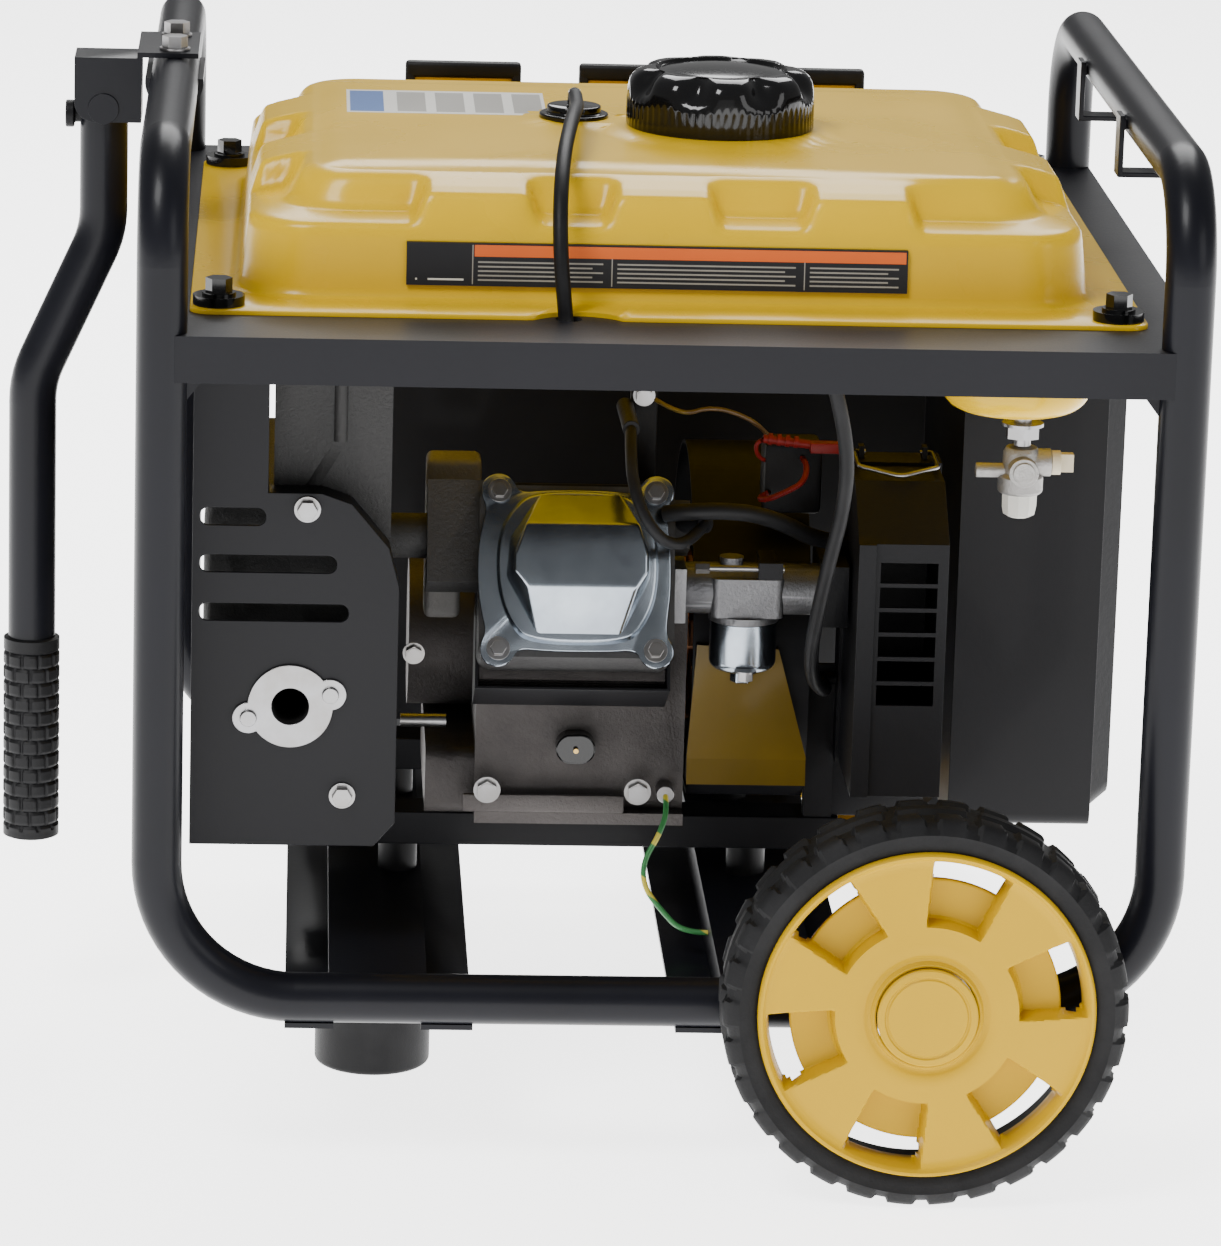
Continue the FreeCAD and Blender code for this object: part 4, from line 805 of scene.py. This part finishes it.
coverShape = {
    "plate": [(34, 45), (38, 54), (46, 57), (54, 53), (56, 45), (51, 36), (52, 24), (53.5, 12), (53.5, -12),
              (52, -24), (51, -36), (56, -45), (54, -53), (46, -57), (38, -54), (34, -45.5), (18, -47),
              (-18, -47), (-34, -45.5), (-38, -54), (-46, -57), (-54, -53), (-56, -45), (-52, -36),
              (-55, -24), (-57, -10), (-57, 12), (-55, 25), (-52, 36), (-56, 45), (-54, 53), (-46, 57),
              (-38, 54), (-34, 45), (-18, 47), (18, 47)],
    "step": [(-26, 46.5), (26, 46.5), (38, 36), (46.5, 20), (46.5, -14), (38, -34), (27, -43.5), (-27, -43.5),
             (-38, -34), (-46.5, -12), (-46.5, 20), (-38, 36)],
    "dome": [(-22, 43.5), (25, 43.5), (41.5, 15), (41.5, -5), (25, -38.5), (-23, -38.5), (-41, -5),
             (-39, 18)],
    "front": [(-31, 23), (35, 23), (39.5, 5), (39.5, -5), (33, -14), (-29, -14), (-37, -5), (-37, 5)],
    "heights": (196.2, 199.0, 204.5, 222.6),
}


def cutCorners(points, rounds=2):
    # each corner of the loop is cut at a quarter of its two sides, again and again
    for _ in range(rounds):
        nextPoints = []
        for (ax, ay), (bx, by) in zip(points, points[1:] + points[:1]):
            nextPoints.append((ax * 0.75 + bx * 0.25, ay * 0.75 + by * 0.25))
            nextPoints.append((ax * 0.25 + bx * 0.75, ay * 0.25 + by * 0.75))
        points = nextPoints
    return points


def addSlab(bm, outline, low, high, edge, shrink=1.0):
    # a flat piece with one soft upper edge, on the cylinder's own axes
    loops = []
    inward = 1.0 - edge / 50.0
    bend = shrink * (1 - (1 - inward) * 0.3)
    for z, factor in ((low, 1.0), (high - edge, shrink), (high - edge * 0.3, bend), (high, shrink * inward)):
        loops.append([bm.verts.new((x * factor, u * factor, z)) for x, u in outline])
    for lower, upper in zip(loops, loops[1:]):
        bmesh.ops.bridge_loops(bm, edges=ringEdges(bm, lower, upper))
    bm.faces.new(loops[-1])
    bm.faces.new(loops[0])


def makeCover():
    c = coverShape
    base, plateTop, stepTop, top = c["heights"]
    bm = bmesh.new()
    addSlab(bm, cutCorners(c["plate"]), base, plateTop, 0.7)
    addSlab(bm, cutCorners(c["step"], 3), plateTop - 0.5, stepTop, 1.8, 0.975)
    low = [bm.verts.new((x, u, stepTop - 0.6)) for x, u in c["dome"]]
    high = [bm.verts.new((x, u, top)) for x, u in c["front"]]
    sides = bmesh.ops.bridge_loops(bm, edges=ringEdges(bm, low, high))
    face = bm.faces.new(high)
    domeFaces = list(sides["faces"]) + [face]
    domeEdges = {edge for part in domeFaces for edge in part.edges if not edge.is_boundary}
    bmesh.ops.bevel(bm, geom=list(domeEdges), offset=2.0, segments=3, affect="EDGES", profile=0.5,
                    material=-1)
    bmesh.ops.transform(bm, matrix=cylinderFrame(), verts=bm.verts)
    finishPiece(bm, "valveCoverShown", "generator", "plated", 30, ("valve_cover",))


makeCover()
print("valve cover made")

# fuel tap
tap = {"x": 208.0, "y": -150.0}


def makeTap():
    x, y = tap["x"], tap["y"]
    nut, body, bowl = bmesh.new(), bmesh.new(), bmesh.new()
    addRod(nut, 10.2, (x, y, 396.5), (x, y, 403.5), 6)
    addRod(nut, 12.0, (x, y, 403.5), (x, y, 405.4), 32)
    addRod(nut, 5.0, (x, y, 392), (x, y, 413.5), 24)
    addTurned(body, [(0, 364), (11.5, 364), (13, 365.5), (13, 374), (10.5, 376), (10.5, 388), (9, 391),
                     (0, 392.5)], (x, y, 0), (0, 0, 1), 48)
    addRod(body, 8.5, (x, y - 17, 379), (x, y, 379), 36)
    addRod(body, 6.3, (x, y - 18.2, 379), (x, y - 17, 379), 36)
    addRod(body, 4.2, (x - 26, y, 377), (x, y, 377), 24)
    addRod(body, 8.0, (x, y, 382), (x + 17, y, 382), 32)
    addTurned(bowl, [(0, 349.6), (6, 350), (9.4, 352), (10.2, 356), (10.4, 364.2), (0, 364.2)],
              (x, y, 0), (0, 0, 1), 10)
    finishPiece(nut, "tapNut", "generator", "zinc", 30)
    finishPiece(body, "tapBody", "generator", "tap", 30, ("fuel_valve",), 0.5)
    finishPiece(bowl, "tapBowl", "generator", "bowl", 20)


makeTap()

# small fixed fittings of the engine
fittings = {
    "guide": {"outline": [(25, 188), (95, 188), (95, 190), (77, 255), (29, 257), (25, 190)],
              "y": (-98.9, -97.6), "fold": [(25, 173), (95, 173), (95, 188), (25, 188)], "foldOut": 2.6},
    "sideLugs": [(-131.0, -99.0, -92.0, -64.0, 306.0, 364.0), (-131.0, -110.0, -90.0, -64.0, 268.0, 303.0)],
    "sideRod": ((-143.0, -66.0, 200.0), (-116.0, -66.0, 200.0), 4.0),
    "footBolts": [(-92.0, -101.0, 168.0), (-3.5, -101.0, 168.0)],
    "coilBox": (66.0, 100.0, -80.0, -50.0, 332.0, 374.0),
    "headTab": (-12.0, 4.0, -60.0, -55.0, 345.0, 405.0),
    "tabBolt": ((-4.2, -60.0, 397.5), (0, -1, 0)),
    "wires": [("brownWire", 1.3, [(0.0, -57.0, 396.0), (8, -68, 393), (20, -76, 390), (32, -76, 394),
                                  (46, -74, 392), (62, -70, 384), (74, -64, 370)]),
              ("red", 1.7, [(70.0, -78.0, 345.0), (62, -92, 344), (66, -108, 347), (77, -112, 353),
                            (87, -109, 358), (90, -98, 365), (88, -76, 366)]),
              ("red", 1.3, [(66, -84, 378), (60, -84, 375), (62, -80, 366), (70, -76, 362)]),
              ("rubber", 1.6, [(107, -84, 373.5), (114, -84, 373), (121, -82, 370), (124, -80, 360)])],
    "endPieces": [("moulded", 5.8, (28.5, -149.0, 342.5), (16.0, -133.0, 338.0)),
                  ("moulded", 5.0, (-15.0, -131.0, 393.0), (-15.0, -56.0, 390.0)),
                  ("zinc", 5.2, (13.0, -100.5, 166.0), (13.0, -85.0, 166.0)),
                  ("moulded", 5.6, (-57.0, -225.0, 464.0), (-57.0, -242.5, 464.0))],
    "redPlug": ((64.7, -84.0, 378.0), (92.0, -84.0, 375.0), (109.4, -84.0, 373.5)),
    "linkRod": ((26.0, -152.5, 317.0), (72.0, -152.5, 317.0), 1.8),
    "drain": ((54.5, -141.0, 250.0), 8.6),
    "apron": (96.0, 168.0, -73.0, -71.0, 147.0, 184.8),
    "strip": (-106.0, -11.0, -97.6, -94.0, 153.2, 164.0),
    "connector": ((-52.0, 192.0), (-28.5, 192.0), (-98.0, -84.5), 9.2),
    "tie": ((-136.0, -72.0, 242.5), (0, -1, 0)),
}


def softenRoute(route, rounds=3):
    # the same corner cutting along an open route
    for _ in range(rounds):
        pairs = [(Vector(a), Vector(b)) for a, b in zip(route, route[1:])]
        inner = [point for a, b in pairs for point in (a.lerp(b, 0.25), a.lerp(b, 0.75))]
        route = [route[0]] + inner + [route[-1]]
    return route


def addPrism(bm, outline, y0, y1, push=0.0):
    # an upright plate; push moves its lowest edge forward
    floorZ = min(z for _, z in outline)
    rings = [[bm.verts.new((x, y - (push if z == floorZ else 0.0), z)) for x, z in outline] for y in (y0, y1)]
    bmesh.ops.bridge_loops(bm, edges=ringEdges(bm, *rings))
    for ring in rings:
        bm.faces.new(ring)


def addBolt(bm, base, axis, across=10.0):
    base, axis = Vector(base), Vector(axis).normalized()
    addRod(bm, across * 0.72, base, base + axis * 1.4, 32)
    addRod(bm, across * 0.575, base + axis * 1.4, base + axis * 5.6, 6)
    addRod(bm, across * 0.46, base + axis * 5.6, base + axis * 6.1, 24)


def makeFittings():
    f = fittings
    guide, lumps, zincBits, strip, connector, pin = (bmesh.new() for _ in range(6))
    y0, y1 = f["guide"]["y"]
    addPrism(guide, f["guide"]["outline"], y0, y1)
    addPrism(guide, f["guide"]["fold"], y0, y1, f["guide"]["foldOut"])
    # the air guide plate takes the darkened fan yellow, which is painted shade rather than the paint's own
    # colour
    finishPiece(guide, "airGuidePlate", "generator", "fanYellowShaded", 20)
    for x0, x1, front, back, z0, z1 in f["sideLugs"]:
        addBlock(lumps, x0, x1, front, back, z0, z1, 4.0, 3)
    finishPiece(lumps, "sideLugs", "generator", "castPale", 40)
    start, end, radius = f["sideRod"]
    addRod(zincBits, radius, start, end, 24)
    for spot in f["footBolts"]:
        addBolt(zincBits, spot, (0, -1, 0), 11.0)
    addBolt(zincBits, *f["tie"], 9.0)
    addBolt(zincBits, *f["tabBolt"], 9.0)
    finishPiece(zincBits, "footBolts", "generator", "zinc", 30)
    addBlock(strip, *f["strip"], 1.2)
    finishPiece(strip, "caseFootStrip", "generator", "cast", 30)
    apron = bmesh.new()
    addBlock(apron, *f["apron"], 0.6)
    addBlock(apron, *f["coilBox"], 3.0)
    addBlock(apron, *f["headTab"], 1.0)
    finishPiece(apron, "airBoxApron", "generator", "moulded", 30)
    (ax, az), (bx, bz), (cy0, cy1), radius = f["connector"]
    outline = []
    for i in range(24):
        angle = math.pi / 2 + i * math.pi / 12
        cx = ax + radius if 0 < i < 12 else bx - radius
        outline.append((cx + radius * math.cos(angle), az + radius * math.sin(angle)))
    addPrism(connector, outline, cy0, cy1)
    finishPiece(connector, "sensorPlug", "generator", "gloss", 30, (), 1.2)
    for look, radius, route in f["wires"]:
        strand = bmesh.new()
        route = softenRoute(route)
        for start, end in zip(route, route[1:]):
            addRod(strand, radius, start, end, 16)
        for point in route[1:-1]:
            spot = Matrix.Translation(point)
            bmesh.ops.create_icosphere(strand, subdivisions=1, radius=radius, matrix=spot)
        finishPiece(strand, "strand", "generator", look, 60)
    for look, radius, start, end in f["endPieces"]:
        holder = bmesh.new()
        addRod(holder, radius, start, end, 28)
        finishPiece(holder, "cordHolder", "generator", look, 30, (), 0.6)
    (px0, py0, pz0), (px1, _, pz1), (px2, _, pz2) = f["redPlug"]
    plug = bmesh.new()
    addRod(plug, 2.6, (px0, py0, pz0), (px1, py0, pz1), 20)
    for i in range(4):
        x = px0 + 3 + 5 * i
        addRod(plug, 3.5, (x, py0, pz0 - i * 0.5), (x + 2.4, py0, pz0 - i * 0.5 - 0.2), 20)
    addBlock(plug, px1, px2, py0 - 4, py0 + 4, pz2 - 3.2, pz2 + 3.2, 0.8)
    finishPiece(plug, "wirePlug", "generator", "red", 30)
    link = bmesh.new()
    start, end, radius = f["linkRod"]
    addRod(link, radius, start, end, 20)
    addRod(link, 3.4, (start[0] - 3, start[1], start[2]), (start[0] + 5, start[1], start[2]), 6)
    addRod(link, 2.6, (end[0] - 2, end[1], end[2]), (end[0] + 2, end[1], end[2]), 16)
    (dx, dy, dz), across = f["drain"]
    addRod(link, across * 0.75, (dx, dy, dz + 2.4), (dx, dy, dz + 3.6), 28)
    addRod(link, across * 0.55, (dx, dy, dz - 2.4), (dx, dy, dz + 2.4), 6)
    finishPiece(link, "carbLink", "generator", "zinc", 30)
    addRod(pin, 1.5, ((ax + bx) / 2, cy0 - 3.0, az), ((ax + bx) / 2, cy0 + 2.0, az), 20)
    finishPiece(pin, "sensorPin", "generator", "brass", 30)


makeFittings()

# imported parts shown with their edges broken
rounded = {
    "tank_tray": ("tray", 1.6), "crossmembers": ("frame", 1.2), "engine_rails": ("sheet", 1.0),
    "stub_axles": ("frame", 0.8), "rail_hooks": ("frame", 0.7), "handle_bracket": ("frame", 1.0),
    "handle_saddle": ("frame", 0.6), "handle_clamp_bolts": ("zinc", 0.5), "tank_bolts": ("gloss", 0.7),
    "tank_vent_cap": ("gloss", 1.2), "fuel_valve_lever": ("beige", 1.2), "engine_block": ("cast", 1.2),
    "cylinder_head": ("castDark", 1.5), "flange_bolts": ("zinc", 0.5), "engine_shroud": ("sheet", 0.6),
    "fan_housing": ("sheet", 1.5), "carburettor": ("carb", 1.0), "float_bowl": ("plated", 0.8),
    "choke_lever": ("moulded", 0.8), "air_cleaner_base": ("moulded", 1.2),
    "air_cleaner_cover": ("moulded", 1.8),
    "muffler": ("burnt", 0.0), "muffler_shield": ("sheet", 1.4), "spark_arrester": ("zinc", 0.5),
    "control_cabinet": ("sheet", 1.0), "control_fascia": ("moulded", 1.4), "engine_switch": ("moulded", 0.5),
    "breaker_button": ("red", 0.6), "socket_lid_left": ("moulded", 0.6), "socket_lid_right": ("moulded", 0.6),
    "recoil_grip": ("moulded", 0.8), "handle_lock_button": ("moulded", 1.0), "support_feet": ("rubber", 1.0),
}
for nodeName, (lookName, bevelWidth) in rounded.items():
    roundedCopy(nodeName, lookName, bevelWidth)

plain = {"front_frame_tube": "frame", "rear_frame_tube": "frame", "left_hoop": "frame", "right_hoop": "frame",
         "handle_tube": "frame", "engine_isolators": "rubber", "tank_lower": "yellow", "crankshaft": "steel",
         "flywheel": "steel", "stator": "copper", "cover_clip": "zinc"}
for nodeName, lookName in plain.items():
    dress(nodeName, lookName)
print("packed parts finished")


# studio
studio = {"floor": 9.0, "sky": 0.26, "floorGlow": 3.4, "key": (-1.5, -1.8, 3.4, 120.0, 1.4),
          "fill": (2.6, -2.4, 1.6, 22.0, 1.6), "back": (0.4, 2.4, 3.0, 140.0, 2.4),
          "low": (-0.2, -3.4, 0.35, 5.0, 2.2)}


def softLight(name, x, y, z, power, size):
    data = bpy.data.lights.new(name, "AREA")
    data.energy = power
    data.size = size
    light = bpy.data.objects.new(name, data)
    light.location = (x, y, z)
    light.rotation_euler = (Vector((0.05, 0, 0.28)) - light.location).to_track_quat("-Z", "Y").to_euler()
    bpy.context.scene.collection.objects.link(light)


for lightName in ("key", "fill", "back", "low"):
    softLight(lightName + "Light", *studio[lightName])

floorFinish = Finish("paleFloor")
floorFinish.varied(floorFinish.mix(floorFinish.noise(0.7), (0.90, 0.90, 0.90), (0.93, 0.93, 0.93)))
floorFinish.fixed(Roughness=0.6, Emission_Color=(1, 1, 1, 1), Emission_Strength=studio["floorGlow"])
bm = bmesh.new()
bmesh.ops.create_grid(bm, x_segments=8, y_segments=8, size=studio["floor"])
floorMesh = bpy.data.meshes.new("paleFloor")
bm.to_mesh(floorMesh)
bm.free()
floorMesh.materials.append(floorFinish.material)
floor = bpy.data.objects.new("paleFloor", floorMesh)
bpy.context.scene.collection.objects.link(floor)

world = bpy.data.worlds.new("paleWorld")
world.use_nodes = True
world.node_tree.nodes["Background"].inputs[0].default_value = (1, 1, 1, 1)
world.node_tree.nodes["Background"].inputs[1].default_value = studio["sky"]
bpy.context.scene.world = world
print("studio ready")
